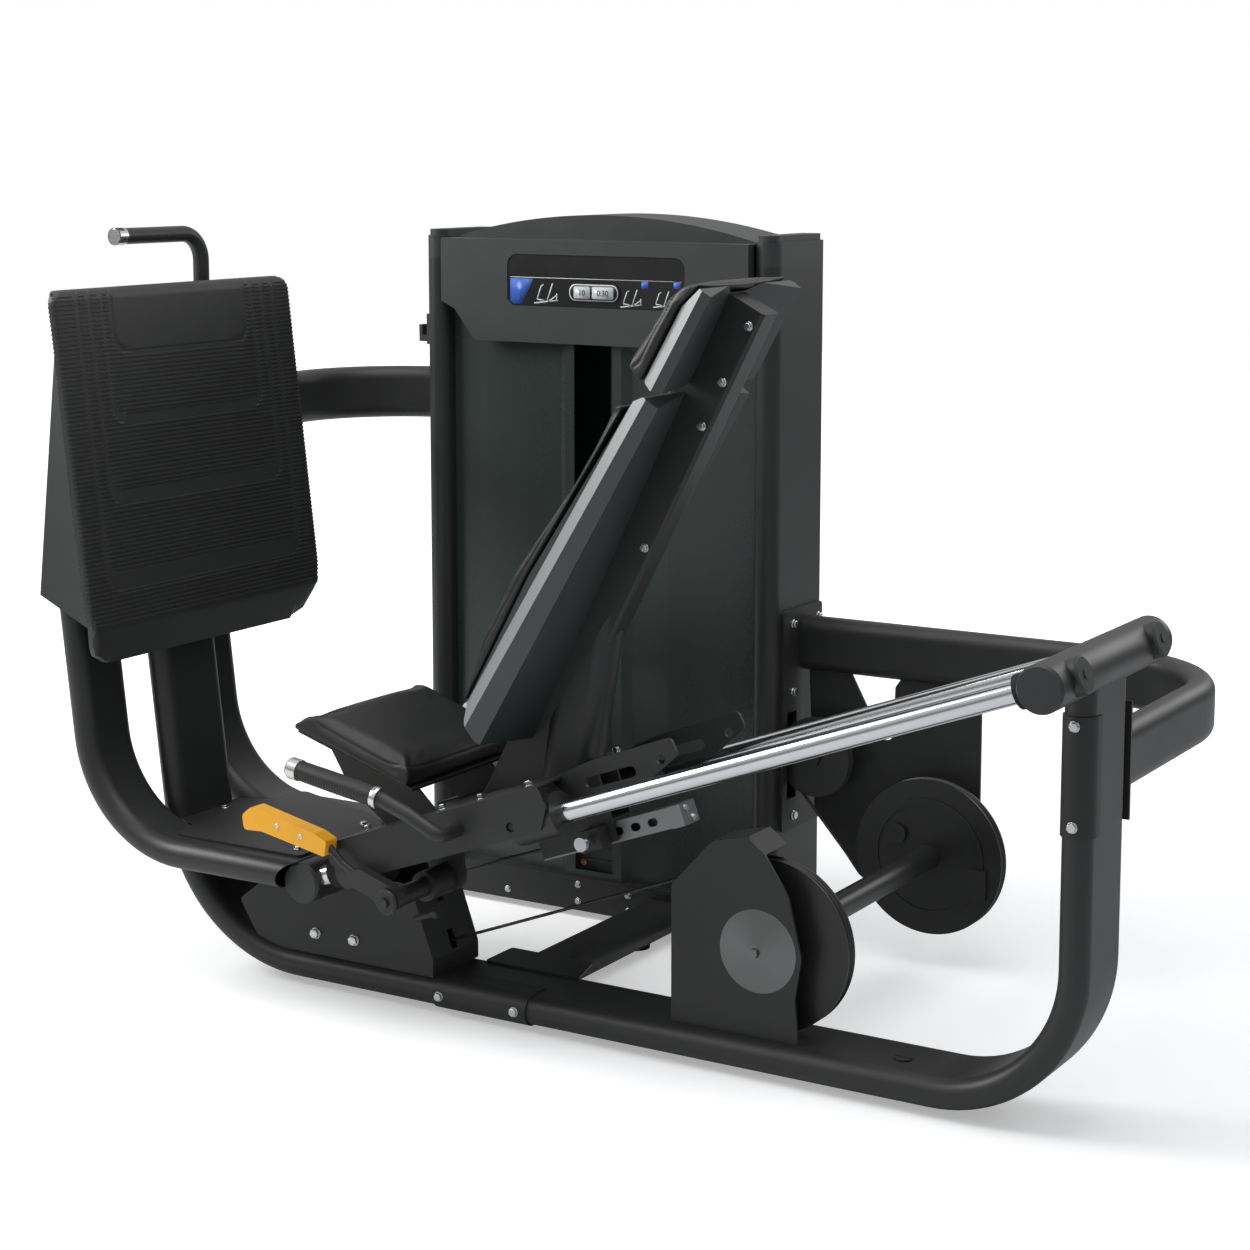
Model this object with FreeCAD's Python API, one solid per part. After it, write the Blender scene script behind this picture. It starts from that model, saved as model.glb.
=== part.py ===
import FreeCAD, Part
import os
import math
from FreeCAD import Vector as V

os.makedirs("parts", exist_ok=True)

# Leg press machine, millimetres. +X runs from the footplate to the rear post, +Y from the
# press to the weight tower, +Z up. The press is symmetric about the plane y = PRESS_Y.
CENTRE_SHIFT = 20.0      # shifts every piece so the machine's box is centred on the origin
PRESS_Y = -225.0
WALL = 3.0               # wall of every frame tube
SHEET = 3.0              # sheet of shrouds and covers

SKID_Y = -230.0
SKID_W = 173.0
TUBE_T = 54.0            # short side of every flat-oval tube
SKID_Z = 41.0            # centre of the floor runs
FRONT_BEND = 303.0
REAR_BEND = 250.0
LEAN = 6.6               # lean of the front tubes, degrees
SPLICE_X = -173.0
POST_X = 981.0

RAIL_R = 19.0            # guide rods
RAIL_Y = 173.5           # half distance between the guide rods
FIT = 0.05               # radial clearance of a running fit
FREE = 1.0               # clearance round a part that only passes through
CROSS_R = 40.0
FRONT_TUBE = (-498.0, 250.0)
REAR_TUBE = (981.0, 790.0)
TILT = math.degrees(math.atan2(REAR_TUBE[1] - FRONT_TUBE[1], REAR_TUBE[0] - FRONT_TUBE[0]))
RAIL_LENGTH = math.hypot(REAR_TUBE[0] - FRONT_TUBE[0], REAR_TUBE[1] - FRONT_TUBE[1])

ARM_W = 130.0
ARM_Z = 264.0
ARM_Y = 166.5
ARM_BEND = 235.0
PLATE_HALF = 346.0

TOWER_X0 = -770.0
TOWER_X1 = 75.0
TOWER_Y0 = 365.0
TOWER_Y1 = 575.0
COLUMN = 54.0
CAP_Z = 1380.0
BASE_Z0 = 14.0
BASE_Z1 = 86.0
TOWER_X = (TOWER_X0 + TOWER_X1) / 2

RAIL_H = 112.0
REAR_RAIL_Z = 615.0
UPPER_RAIL_Z = 1082.0
SIDE_RAIL_Y = 497.0

CABLE_Y = 440.0
CABLE_R = 3.0
CABLE_GAP = 0.4          # cable to groove
SHAFT = (392.0, 225.0)
SHAFT_R = 25.0
BIG_GROOVE = 148.0
BIG_FLANGE = 156.0
NOSE_PULLEY = (-385.0, 152.0)
NOSE_GROOVE = 59.0
SMALL_PULLEY_Z = 393.0
SMALL_GROOVE = 70.0
TOP_GROOVE = 50.0
TOP_Z = 1305.0
DOWN_X = 62.0            # the cable run inside the right column

PLATES = 16
PLATE_PITCH = 25.0
PLATE_T = 24.0
LIFTED = 6
STACK_Z = 98.0
STACK_W = 300.0
STACK_Y0 = 388.0
STACK_Y1 = 492.0
STACK_ROD_R = 12.5
STACK_ROD_X = 118.0
STEM_R = 11.0
SLOT_HALF = 46.0


def out(name, *shapes):
    whole = shapes[0] if len(shapes) == 1 else Part.makeCompound(list(shapes))
    whole = whole.copy()
    whole.translate(V(CENTRE_SHIFT, 0, 0))
    whole.exportStep("parts/%s.step" % name)


def join(first, *rest):
    whole = first.fuse(list(rest)) if rest else first
    return whole.removeSplitter()


def mirror(shape):
    return shape.mirror(V(0, PRESS_Y, 0), V(0, 1, 0))


def box(x0, x1, y0, y1, z0, z1):
    return Part.makeBox(x1 - x0, y1 - y0, z1 - z0, V(x0, y0, z0))


def cyl(r, at, along, length):
    return Part.makeCylinder(r, length, V(*at), V(*along))


def ring(outer, inner, at, along, length):
    return cyl(outer, at, along, length).cut(cyl(inner, at, along, length))


def bent_edges(points, radius, closed=False):
    """Lines through the corner points, each inner corner rounded by its radius."""
    pts = [V(*p) for p in points]
    n = len(pts)
    radii = radius if isinstance(radius, (list, tuple)) else [radius] * n
    stops = []
    for i, p in enumerate(pts):
        if radii[i] < 0.01 or (not closed and i in (0, n - 1)):
            stops.append((p, None, p))
            continue
        a = (pts[i - 1] - p).normalize()
        b = (pts[(i + 1) % n] - p).normalize()
        half = a.getAngle(b) / 2
        back = radii[i] / math.tan(half)
        mid = (a + b).normalize() * (radii[i] / math.sin(half) - radii[i])
        stops.append((p + a * back, p + mid, p + b * back))
    edges = []
    for i, (start, mid, end) in enumerate(stops):
        if mid is not None:
            edges.append(Part.Arc(start, mid, end).toShape())
        if i == n - 1 and not closed:
            break
        following = stops[(i + 1) % n][0]
        if (following - end).Length > 0.001:
            edges.append(Part.makeLine(end, following))
    return edges


def bent(points, radius, closed=False):
    return Part.Wire(bent_edges(points, radius, closed))


def sweep(edges, section):
    """Carry a section face along straight runs and bends laid end to end."""
    runs = []
    for edge in edges:
        start = edge.valueAt(edge.FirstParameter)
        face = section(start, edge.tangentAt(edge.FirstParameter))
        if edge.Curve.TypeId == "Part::GeomLine":
            runs.append(face.extrude(edge.valueAt(edge.LastParameter) - start))
        else:
            turn = math.degrees(edge.LastParameter - edge.FirstParameter)
            runs.append(face.revolve(edge.Curve.Center, edge.Curve.Axis, turn))
    return join(*runs)


def slab_y(pts, y0, y1, radius=0):
    """Plate with an outline in the XZ plane."""
    wire = bent([(x, y0, z) for x, z in pts], radius, True)
    return Part.Face(wire).extrude(V(0, y1 - y0, 0))


def slab_z(pts, z0, z1, radius=0):
    wire = bent([(x, y, z0) for x, y in pts], radius, True)
    return Part.Face(wire).extrude(V(0, 0, z1 - z0))


def slab_x(pts, x0, x1, radius=0):
    wire = bent([(x0, y, z) for y, z in pts], radius, True)
    return Part.Face(wire).extrude(V(x1 - x0, 0, 0))


def oval(at, along, long_dir, long, short):
    """Flat-oval outline: straight sides with half-round ends."""
    at = V(*at)
    u = V(*long_dir).normalize()
    w = V(*along).normalize().cross(u)
    r = short / 2
    h = long / 2 - r
    a, b = at + u * -h + w * r, at + u * h + w * r
    c, d = at + u * h + w * -r, at + u * -h + w * -r
    far, near = at + u * (h + r), at + u * (-h - r)
    edges = [Part.makeLine(a, b), Part.Arc(b, far, c).toShape()]
    edges += [Part.makeLine(c, d), Part.Arc(d, near, a).toShape()]
    return Part.Wire(edges)


def oval_tube(points, radius, long_dir, long, short=TUBE_T, wall=WALL, hollow=True):
    """Flat-oval tube whose path lies in the plane square to long_dir."""
    def section(at, along):
        outer = Part.Face(oval(at, along, long_dir, long, short))
        if not hollow:
            return outer
        inner = oval(at, along, long_dir, long - 2 * wall, short - 2 * wall)
        return outer.cut(Part.Face(inner)).Faces[0]
    return sweep(bent_edges(points, radius), section)


def disc(r, inner_r):
    """Section of a round bar or tube."""
    def section(at, along):
        outer = Part.Face(Part.Wire([Part.Circle(at, along, r).toShape()]))
        if inner_r <= 0:
            return outer
        inner = Part.Face(Part.Wire([Part.Circle(at, along, inner_r).toShape()]))
        return outer.cut(inner).Faces[0]
    return section


def round_tube(points, radius, r, inner_r=0.0):
    return sweep(bent_edges(points, radius), disc(r, inner_r))


def rail(s, n):
    """Point in the XZ plane from distance s along the guide rods and n above them."""
    a = math.radians(TILT)
    x = FRONT_TUBE[0] + s * math.cos(a) - n * math.sin(a)
    return (x, FRONT_TUBE[1] + s * math.sin(a) + n * math.cos(a))


def rail3(s, n, y):
    x, z = rail(s, n)
    return (x, y, z)


ALONG = (math.cos(math.radians(TILT)), 0, math.sin(math.radians(TILT)))
UP = (-ALONG[2], 0, ALONG[0])


def tilted_box(s0, s1, n0, n1, y0, y1):
    return slab_y([rail(s0, n0), rail(s1, n0), rail(s1, n1), rail(s0, n1)], y0, y1)


def lean_x(x, z0, z):
    """X of a front tube's centre line at height z, leaning back from (x, z0)."""
    return x - (z - z0) * math.tan(math.radians(LEAN))


# ---------------------------------------------------------------- footplate
FACE_TOP = (-941.0, 1351.0)
FACE_LOW = (-866.0, 716.0)
FACE_LIP = (-895.0, 642.0)
FACE_T = 12.0
RIB_H = 1.6
RIB_W = 5.0
RIB_PITCH = 8.3
FACE_TILT = math.degrees(math.atan2(FACE_LOW[0] - FACE_TOP[0], FACE_TOP[1] - FACE_LOW[1]))
FACE_LENGTH = math.hypot(FACE_LOW[0] - FACE_TOP[0], FACE_TOP[1] - FACE_LOW[1])


def face_back(z):
    """X of the tread plate's back at height z."""
    slope = (FACE_TOP[0] - FACE_LOW[0]) / (FACE_TOP[1] - FACE_LOW[1])
    thick = FACE_T / math.cos(math.radians(FACE_TILT))
    return FACE_LOW[0] - RIB_H - thick + (z - FACE_LOW[1]) * slope


def housing_block(inset):
    """Wedge behind the footplate, deep at the bottom and narrow at the top."""
    half = PLATE_HALF - 6 - inset
    back = 256.0 - inset
    y = PRESS_Y
    z0, z1 = 716 + inset, 1344 - inset
    front = [(face_back(z1), y - half, z1), (face_back(z1), y + half, z1),
             (face_back(z0), y + half, z0), (face_back(z0), y - half, z0)]
    rear = [(-1017 + inset, y - back, 1322 - inset), (-1017 + inset, y + back, 1322 - inset),
            (-1085 + inset, y + back, 752 + inset), (-1085 + inset, y - back, 752 + inset)]
    wires = [Part.makePolygon([V(*p) for p in side + side[:1]]) for side in (rear, front)]
    return Part.makeLoft(wires, True, True)


def footplate_housing():
    return housing_block(0).cut(housing_block(SHEET))


def footplate_face():
    """Ribbed tread plate whose lower edge turns back as a lip."""
    half = PLATE_HALF
    outline = [(-half, 0), (half, 0), (half, FACE_LENGTH), (-half, FACE_LENGTH)]
    plate = slab_x(outline, -FACE_T, 0, [60, 60, 26, 26])
    count = int((FACE_LENGTH - 60) / RIB_PITCH)
    ribs = []
    for i in range(count):
        z = 40 + i * RIB_PITCH
        ribs.append(box(0, RIB_H, -half + 14, half - 14, z, z + RIB_W))
    body = join(plate, *ribs)
    body.rotate(V(0, 0, 0), V(0, 1, 0), -FACE_TILT)
    body.translate(V(FACE_LOW[0] - RIB_H, PRESS_Y, FACE_LOW[1]))
    lip = slab_y([(-871, 718), (-895, 642), (-906, 646), (-880, 714)], PRESS_Y - 285, PRESS_Y + 285)
    return join(body, lip)


def arm_block(side, hollow=False):
    y = PRESS_Y + side * ARM_Y
    corner = lean_x(-1032.7, 600, ARM_Z)
    points = [(-505, y, ARM_Z), (corner, y, ARM_Z), (lean_x(-1032.7, 600, 762), y, 762)]
    return oval_tube(points, ARM_BEND, (0, 1, 0), ARM_W, hollow=hollow)


def foot_arm(side):
    y = PRESS_Y + side * ARM_Y
    arm = arm_block(side, True)
    tube = cyl(CROSS_R, (FRONT_TUBE[0], y - 80, FRONT_TUBE[1]), (0, 1, 0), 160)
    return arm.cut(tube).cut(housing_block(0))


def front_skid():
    corner = -882.0
    top = (lean_x(corner, SKID_Z, 800), SKID_Y, 800)
    points = [(SPLICE_X, SKID_Y, SKID_Z), (corner, SKID_Y, SKID_Z), top]
    tube = oval_tube(points, FRONT_BEND, (0, 1, 0), SKID_W)
    return tube.cut(housing_block(0))


def rear_skid():
    points = [(SPLICE_X, SKID_Y, SKID_Z), (POST_X, SKID_Y, SKID_Z), (POST_X, SKID_Y, 790)]
    tube = oval_tube(points, REAR_BEND, (0, 1, 0), SKID_W)
    body = tube.cut(cyl(CROSS_R, (REAR_TUBE[0], -480, REAR_TUBE[1]), (0, 1, 0), 500))
    return max(body.Solids, key=lambda s: s.Volume), tube_plug(655)


def tube_plug(x):
    z = SKID_Z + TUBE_T / 2
    head = cyl(17, (x, SKID_Y - 10, z), (0, 0, 1), 3)
    notch = box(x - 20, x + 20, SKID_Y - 12, SKID_Y - 8, z + 1.5, z + 4)
    return head.cut(notch)


def splice_plates():
    y0 = SKID_Y - SKID_W / 2
    near = oval((0, SKID_Y, SKID_Z), (1, 0, 0), (0, 1, 0), SKID_W + 8, TUBE_T + 6)
    core = oval((0, SKID_Y, SKID_Z), (1, 0, 0), (0, 1, 0), SKID_W, TUBE_T)
    length = 208.0
    sleeve = Part.Face(near).extrude(V(length, 0, 0)).cut(Part.Face(core).extrude(V(length, 0, 0)))
    sleeve = sleeve.common(box(-5, 300, y0 - 20, SKID_Y - 20, 0, 100))
    sleeve.translate(V(-277, 0, 0))
    near = oval((POST_X, SKID_Y, 519), (0, 0, 1), (0, 1, 0), SKID_W + 8, TUBE_T + 6)
    core = oval((POST_X, SKID_Y, 519), (0, 0, 1), (0, 1, 0), SKID_W, TUBE_T)
    post = Part.Face(near).extrude(V(0, 0, 199)).cut(Part.Face(core).extrude(V(0, 0, 199)))
    post = post.common(box(900, 1060, y0 - 20, SKID_Y - 45, 500, 730))
    return sleeve, post


def cross_tube(at, y0, y1, bores):
    tube = ring(CROSS_R, CROSS_R - 4, (at[0], y0, at[1]), (0, 1, 0), y1 - y0)
    for side in (-1, 1):
        tube = tube.cut(bores(side))
    return tube


def rod(side, s0=0.0, s1=RAIL_LENGTH + 40, r=RAIL_R):
    return cyl(r, rail3(s0, 0, PRESS_Y + side * RAIL_Y), ALONG, s1 - s0)


def rear_cross_tube():
    y0, y1 = -467.0, 17.0
    x, z = REAR_TUBE
    tube = cyl(CROSS_R, (x, y0, z), (0, 1, 0), y1 - y0)
    sockets = [rod(side, RAIL_LENGTH - 30, RAIL_LENGTH + 46, 31.5) for side in (-1, 1)]
    body = join(tube, *sockets).cut(cyl(CROSS_R - 4, (x, y0, z), (0, 1, 0), y1 - y0))
    bosses = [rod(side, RAIL_LENGTH - 39, RAIL_LENGTH + 46, 31.5) for side in (-1, 1)]
    inner = [b.common(cyl(CROSS_R - 4, (x, y0, z), (0, 1, 0), y1 - y0)) for b in bosses]
    body = join(body, *inner)
    for side in (-1, 1):
        body = body.cut(rod(side))
    return body


def end_cap(at, y, side, r):
    """Push-in cap with a bevelled rim."""
    rim = Part.makeCone(r, r - 4, 6, V(at[0], y, at[1]), V(0, side, 0))
    stem = cyl(r - 4, (at[0], y, at[1]), (0, -side, 0), 5)
    return join(rim, stem)


def tube_caps():
    caps = []
    for at, y0, y1 in ((FRONT_TUBE, -424, -26), (REAR_TUBE, -467, 17)):
        caps += [end_cap(at, y0, -1, CROSS_R), end_cap(at, y1, 1, CROSS_R)]
    for side in (-1, 1):
        start = rail3(RAIL_LENGTH + 46, 0, PRESS_Y + side * RAIL_Y)
        disc = Part.makeCone(31, 28, 4, V(*start), V(*ALONG))
        button = cyl(8, rail3(RAIL_LENGTH + 50, 0, PRESS_Y + side * RAIL_Y), ALONG, 2)
        caps.append(join(disc, button))
    return caps


def guide_rods():
    near, far = rod(-1, 6), rod(1, 6)
    return near, far


def bumpers():
    """Rubber stop rings on the guide rods, both ends of the carriage travel."""
    rings = []
    for side in (-1, 1):
        for s in (66.0, RAIL_LENGTH - 66.0):
            y = PRESS_Y + side * RAIL_Y
            rings.append(ring(29, RAIL_R, rail3(s, 0, y), ALONG, 26))
    return rings


def rubber_feet():
    z = SKID_Z - TUBE_T / 2
    spots = [(-560, SKID_Y), (600, SKID_Y), (-167, 240)]
    spots += [(TOWER_X0 + 60, 470), (TOWER_X1 - 60, 470)]
    return [cyl(28, (x, y, 0), (0, 0, 1), z) for x, y in spots]


def deck_plate():
    pts = [(-821, -407), (-516, -407), (-516, -142), (-590, -89), (-810, -14), (-833, -37)]
    pts += [(-895, -131), (-895, -312), (-836, -338)]
    plate = slab_z(pts, 291, 296, [8, 8, 30, 20, 12, 12, 20, 30, 12])
    for block in (front_skid_block(), arm_block(-1), arm_block(1)):
        block.translate(V(0, 0, 0.3))
        plate = plate.cut(block)
    return plate


def gusset_outline():
    return [(-752, 150), (-700, 67), (-288, 67), (-288, 100), (-338, 238), (-440, 238),
            (-560, 205), (-700, 190)]


def gusset_box():
    """Two side plates and a nose standing on the skid, holding the front cable pulley."""
    radii = [10, 0, 0, 14, 30, 20, 30, 20]
    sides = []
    for y in (-300.0, -155.0):
        sides.append(slab_y(gusset_outline(), y, y + 5, radii))
    nose = slab_y([(-288, 67), (-288, 100), (-338, 238), (-343, 238), (-293, 99), (-293, 67)],
                  -295, -155)
    slot = box(-330, -270, PRESS_Y - 9, PRESS_Y + 9, 104, 140)
    top_slot = box(-350, -290, PRESS_Y - 12, PRESS_Y + 12, 190, 245)
    back = slab_y([(-752, 150), (-700, 190), (-697, 186), (-748, 148)], -295, -155)
    body = join(sides[0], sides[1], nose.cut(slot).cut(top_slot), back)
    tube = cyl(CROSS_R, (FRONT_TUBE[0], -320, FRONT_TUBE[1]), (0, 1, 0), 200)
    skid_bend = front_skid_block()
    return body.cut(tube).cut(skid_bend)


def front_skid_block():
    corner = -882.0
    points = [(SPLICE_X, SKID_Y, SKID_Z), (corner, SKID_Y, SKID_Z),
              (lean_x(corner, SKID_Z, 700), SKID_Y, 700)]
    return oval_tube(points, FRONT_BEND, (0, 1, 0), SKID_W, hollow=False)


def nose_axle():
    x, z = NOSE_PULLEY
    return cyl(10, (x, -295, z), (0, 1, 0), 140)


# ---------------------------------------------------------------- pulleys and cables
def pulley(at, y, groove, flange, width, bore):
    """Grooved wheel about a Y axis, its groove centred on the plane y."""
    x, z = at
    prof = [(bore, -width / 2), (flange, -width / 2), (flange, -width / 2 + 3),
            (groove, -CABLE_R), (groove, CABLE_R), (flange, width / 2 - 3),
            (flange, width / 2), (bore, width / 2)]
    wire = Part.makePolygon([V(r, t, 0) for r, t in prof + prof[:1]])
    wheel = Part.Face(wire).revolve(V(0, 0, 0), V(0, 1, 0), 360)
    wheel.translate(V(x, y, z))
    return wheel


def nose_pulley():
    return pulley(NOSE_PULLEY, PRESS_Y, NOSE_GROOVE, 65.0, 22, 10 + FIT)


def near_pulley():
    disc = pulley(SHAFT, PRESS_Y, BIG_GROOVE, BIG_FLANGE, 26, SHAFT_R)
    return disc


def far_pulley():
    """Grooved wheel with a raised ring, a boss and a rope clamp on its near face."""
    wheel = pulley(SHAFT, CABLE_Y, BIG_GROOVE, BIG_FLANGE, 24, SHAFT_R)
    y0 = CABLE_Y - 12
    plate = ring(118, 108, (SHAFT[0], y0 - 2, SHAFT[1]), (0, 1, 0), 2)
    lump = cyl(20, (SHAFT[0] - 66, y0 - 9, SHAFT[1] + 40), (0, 1, 0), 9)
    clamp = box(SHAFT[0] + 86, SHAFT[0] + 126, y0 - 7, y0, SHAFT[1] - 70, SHAFT[1] - 10)
    return join(wheel, plate, lump, clamp)


def drive_shaft():
    """Shaft tube between the two big wheels with hub cones and end screws."""
    x, z = SHAFT
    tube = ring(SHAFT_R, 20, (x, -272, z), (0, 1, 0), 748)
    cone = Part.makeCone(75, 14, 9, V(x, -280, z), V(0, -1, 0))
    neck = cyl(18, (x, -280, z), (0, 1, 0), 8)
    near = join(cone, neck, cyl(SHAFT_R - 5, (x, -276, z), (0, 1, 0), 30))
    screw = Part.makeCone(9, 7, 6, V(x, -289, z), V(0, -1, 0))
    return join(tube, near, screw)


def tangent(at, r, angle):
    a = math.radians(angle)
    return (at[0] + r * math.cos(a), at[1] + r * math.sin(a))


def arc_y(at, r, y, a0, a1):
    p, m, q = [tangent(at, r, a) for a in (a0, (a0 + a1) / 2, a1)]
    return Part.Arc(V(p[0], y, p[1]), V(m[0], y, m[1]), V(q[0], y, q[1])).toShape()


def line_y(p, q, y):
    return Part.makeLine(V(p[0], y, p[1]), V(q[0], y, q[1]))


def cable(edges):
    return sweep(edges, disc(CABLE_R, 0))


def open_belt(a, ra, b, rb, sign):
    """Angle of the outer tangent from wheel a to wheel b, on the side given by sign."""
    d = math.hypot(b[0] - a[0], b[1] - a[1])
    base = math.degrees(math.atan2(b[1] - a[1], b[0] - a[0]))
    return base + sign * math.degrees(math.acos((ra - rb) / d))


def drive_cable():
    """From the rack bar down round the nose pulley and back up over the near wheel."""
    r_nose, r_big = NOSE_GROOVE + CABLE_R + CABLE_GAP, BIG_GROOVE + CABLE_R + CABLE_GAP
    lower = crossed_angle(NOSE_PULLEY, r_nose, SHAFT, r_big)
    top_a = 90 + TILT
    start = rack_end()
    p = tangent(NOSE_PULLEY, r_nose, top_a)
    q = tangent(NOSE_PULLEY, r_nose, lower)
    t = tangent(SHAFT, r_big, lower + 180)
    edges = [line_y(start, p, PRESS_Y), arc_y(NOSE_PULLEY, r_nose, PRESS_Y, top_a, lower + 360)]
    edges += [line_y(q, t, PRESS_Y), arc_y(SHAFT, r_big, PRESS_Y, lower + 180, -150)]
    return cable(edges)


def crossed_angle(a, ra, b, rb):
    """Angle on wheel a where an inner tangent leaves below it towards wheel b."""
    d = math.hypot(b[0] - a[0], b[1] - a[1])
    base = math.degrees(math.atan2(b[1] - a[1], b[0] - a[0]))
    return base - math.degrees(math.acos((ra + rb) / d))


def rack_end():
    """Cable anchor on the rack bar, level with the nose pulley's upper tangent."""
    a = math.radians(TILT)
    dx, dz = NOSE_PULLEY[0] - FRONT_TUBE[0], NOSE_PULLEY[1] - FRONT_TUBE[1]
    n = -dx * math.sin(a) + dz * math.cos(a) + NOSE_GROOVE + CABLE_R + CABLE_GAP
    return rail(RACK_S0 - 10, n)


RACK_S0 = 426.0
RACK_S1 = 742.0
RACK_N0 = -88.0
RACK_N1 = -50.0
ROW = TOP_GROOVE + CABLE_R + CABLE_GAP
SMALL_ROW = SMALL_GROOVE + CABLE_R + CABLE_GAP
TOP_A = (TOWER_X + ROW, TOP_Z)
TOP_B = (DOWN_X - ROW, TOP_Z)
STEM_TOP = 566.0


def stack_cable():
    """From the top pulleys down the right column, round the small pulley to the cam wheel."""
    r_s, r_b = SMALL_ROW, BIG_GROOVE + CABLE_R + CABLE_GAP
    small = (DOWN_X + r_s, SMALL_PULLEY_Z)
    leave = open_belt(small, r_s, SHAFT, r_b, -1)
    edges = [arc_y(TOP_A, ROW, CABLE_Y, 180, 90)]
    edges.append(line_y(tangent(TOP_A, ROW, 90), tangent(TOP_B, ROW, 90), CABLE_Y))
    edges.append(arc_y(TOP_B, ROW, CABLE_Y, 90, 0))
    edges.append(line_y(tangent(TOP_B, ROW, 0), tangent(small, r_s, 180), CABLE_Y))
    edges.append(arc_y(small, r_s, CABLE_Y, 180, leave + 360))
    edges.append(line_y(tangent(small, r_s, leave), tangent(SHAFT, r_b, leave), CABLE_Y))
    edges.append(arc_y(SHAFT, r_b, CABLE_Y, leave + 360, 325))
    return cable(edges)


def stack_cable_drop():
    return cyl(CABLE_R, (TOWER_X, CABLE_Y, STEM_TOP), (0, 0, 1), TOP_Z - STEM_TOP)


def top_pulley(at):
    return pulley(at, CABLE_Y, TOP_GROOVE, TOP_GROOVE + 6, 20, 8 + FIT)


def small_pulley():
    at = (DOWN_X + SMALL_ROW, SMALL_PULLEY_Z)
    return pulley(at, CABLE_Y, SMALL_GROOVE, 80.0, 22, 10 + FIT)


# ---------------------------------------------------------------- tower
def column_outline(left):
    x0, x1 = (TOWER_X0, TOWER_X0 + COLUMN) if left else (TOWER_X1 - COLUMN, TOWER_X1)
    return [(x0, TOWER_Y0), (x1, TOWER_Y0), (x1, TOWER_Y1), (x0, TOWER_Y1)]


def column(left):
    outer = slab_z(column_outline(left), BASE_Z1, CAP_Z, [26.9, 26.9, 8, 8])
    pts = column_outline(left)
    w = WALL
    inner = [(pts[0][0] + w, TOWER_Y0 + w), (pts[1][0] - w, TOWER_Y0 + w)]
    inner += [(pts[2][0] - w, TOWER_Y1 - w), (pts[3][0] + w, TOWER_Y1 - w)]
    return outer.cut(slab_z(inner, BASE_Z1, CAP_Z, [23.9, 23.9, 5, 5]))


def right_column():
    slot_out = box(TOWER_X1 - 10, TOWER_X1 + 10, CABLE_Y - 20, CABLE_Y + 20, 300, 480)
    slot_in = box(TOWER_X1 - COLUMN - 10, TOWER_X1 - COLUMN + 10, CABLE_Y - 18, CABLE_Y + 18,
                  1235, 1375)
    return column(False).cut(slot_out).cut(slot_in)


def column_cap(left):
    pts = column_outline(left)
    body = slab_z(pts, CAP_Z, 1428, [26.9, 26.9, 8, 8])
    top = slab_z([(x + (5 if i in (0, 3) else -5), y + (5 if i < 2 else -5))
                  for i, (x, y) in enumerate(pts)], 1428, 1441, [20, 20, 6, 6])
    hole = cyl(5, ((pts[0][0] + pts[1][0]) / 2, TOWER_Y0 + 27, 1430), (0, 0, 1), 20)
    return join(body, top).cut(hole)


def tower_caps():
    """Two column caps and the arched cover that spans them."""
    x0, x1 = TOWER_X0 + COLUMN, TOWER_X1 - COLUMN
    arch = Part.Arc(V(x0, 400, 1424), V(TOWER_X, 400, 1475), V(x1, 400, 1424)).toShape()
    low = Part.makeLine(V(x1, 400, 1424), V(x0, 400, 1424))
    solid = Part.Face(Part.Wire([arch, low])).extrude(V(0, 170, 0))
    return column_cap(True), column_cap(False), solid


def console_housing():
    """Hood between the columns, stepped out in front with a recess for the placard."""
    x0, x1 = TOWER_X0 + COLUMN, TOWER_X1 - COLUMN
    pts = [(x0, 1424), (x0, 1292), (x0 + 34, 1276), (x0 + 84, 1212), (x1 - 84, 1212),
           (x1 - 34, 1276), (x1, 1292), (x1, 1424)]
    front = slab_y(pts, 352, 364, [0, 0, 20, 20, 20, 20, 0, 0])
    wings = box(x0, x1, 364, 376, 1292, 1424)
    lid = box(x0, x1, 376, 570, 1420, 1424)
    recess = slab_y([(-548, 1394), (-548, 1300), (-534, 1288), (-137, 1288), (-123, 1300),
                     (-123, 1394)], 352, 356, [24, 0, 0, 0, 0, 24])
    middle = box(x0 + 60, x1 - 60, 364, 368, 1230, 1292)
    return join(front.cut(recess), wings, lid, middle)


def placard():
    plate = slab_y([(-547, 1393), (-547, 1300), (-533, 1289), (-138, 1289), (-124, 1300),
                    (-124, 1393)], 353.5, 356, [24, 0, 0, 0, 0, 24])
    rim = slab_y([(-396, 1300), (-275, 1300), (-275, 1338), (-396, 1338)], 350, 353.5, 18.9)
    return join(plate, rim)


def shroud_plan(sign):
    """Plan outline of one front shroud half, bowed from column to slot rim."""
    mid = TOWER_X
    edge = (TOWER_X1 - TOWER_X0) / 2 - COLUMN
    run = [(edge, 402), (edge - 70, 396), (170, 383), (86, 380), (SLOT_HALF + 22, 366)]
    run.append((SLOT_HALF, 366))
    back = [(d, y + SHEET) for d, y in reversed(run)]
    return [(mid + sign * d, y) for d, y in run + back]


def front_shroud():
    halves = [slab_z(shroud_plan(s), BASE_Z1, 1212) for s in (-1, 1)]
    sill = box(TOWER_X - SLOT_HALF, TOWER_X + SLOT_HALF, 366, 366 + SHEET, BASE_Z1, 100)
    return join(halves[0], halves[1], sill)


def rear_shroud():
    x0, x1 = TOWER_X0 + COLUMN, TOWER_X1 - COLUMN
    pts = [(x0, 560), (x0 + 60, 566), (x1 - 60, 566), (x1, 560), (x1, 563), (x1 - 60, 569),
           (x0 + 60, 569), (x0, 563)]
    return slab_z(pts, BASE_Z1, 1420)


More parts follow.
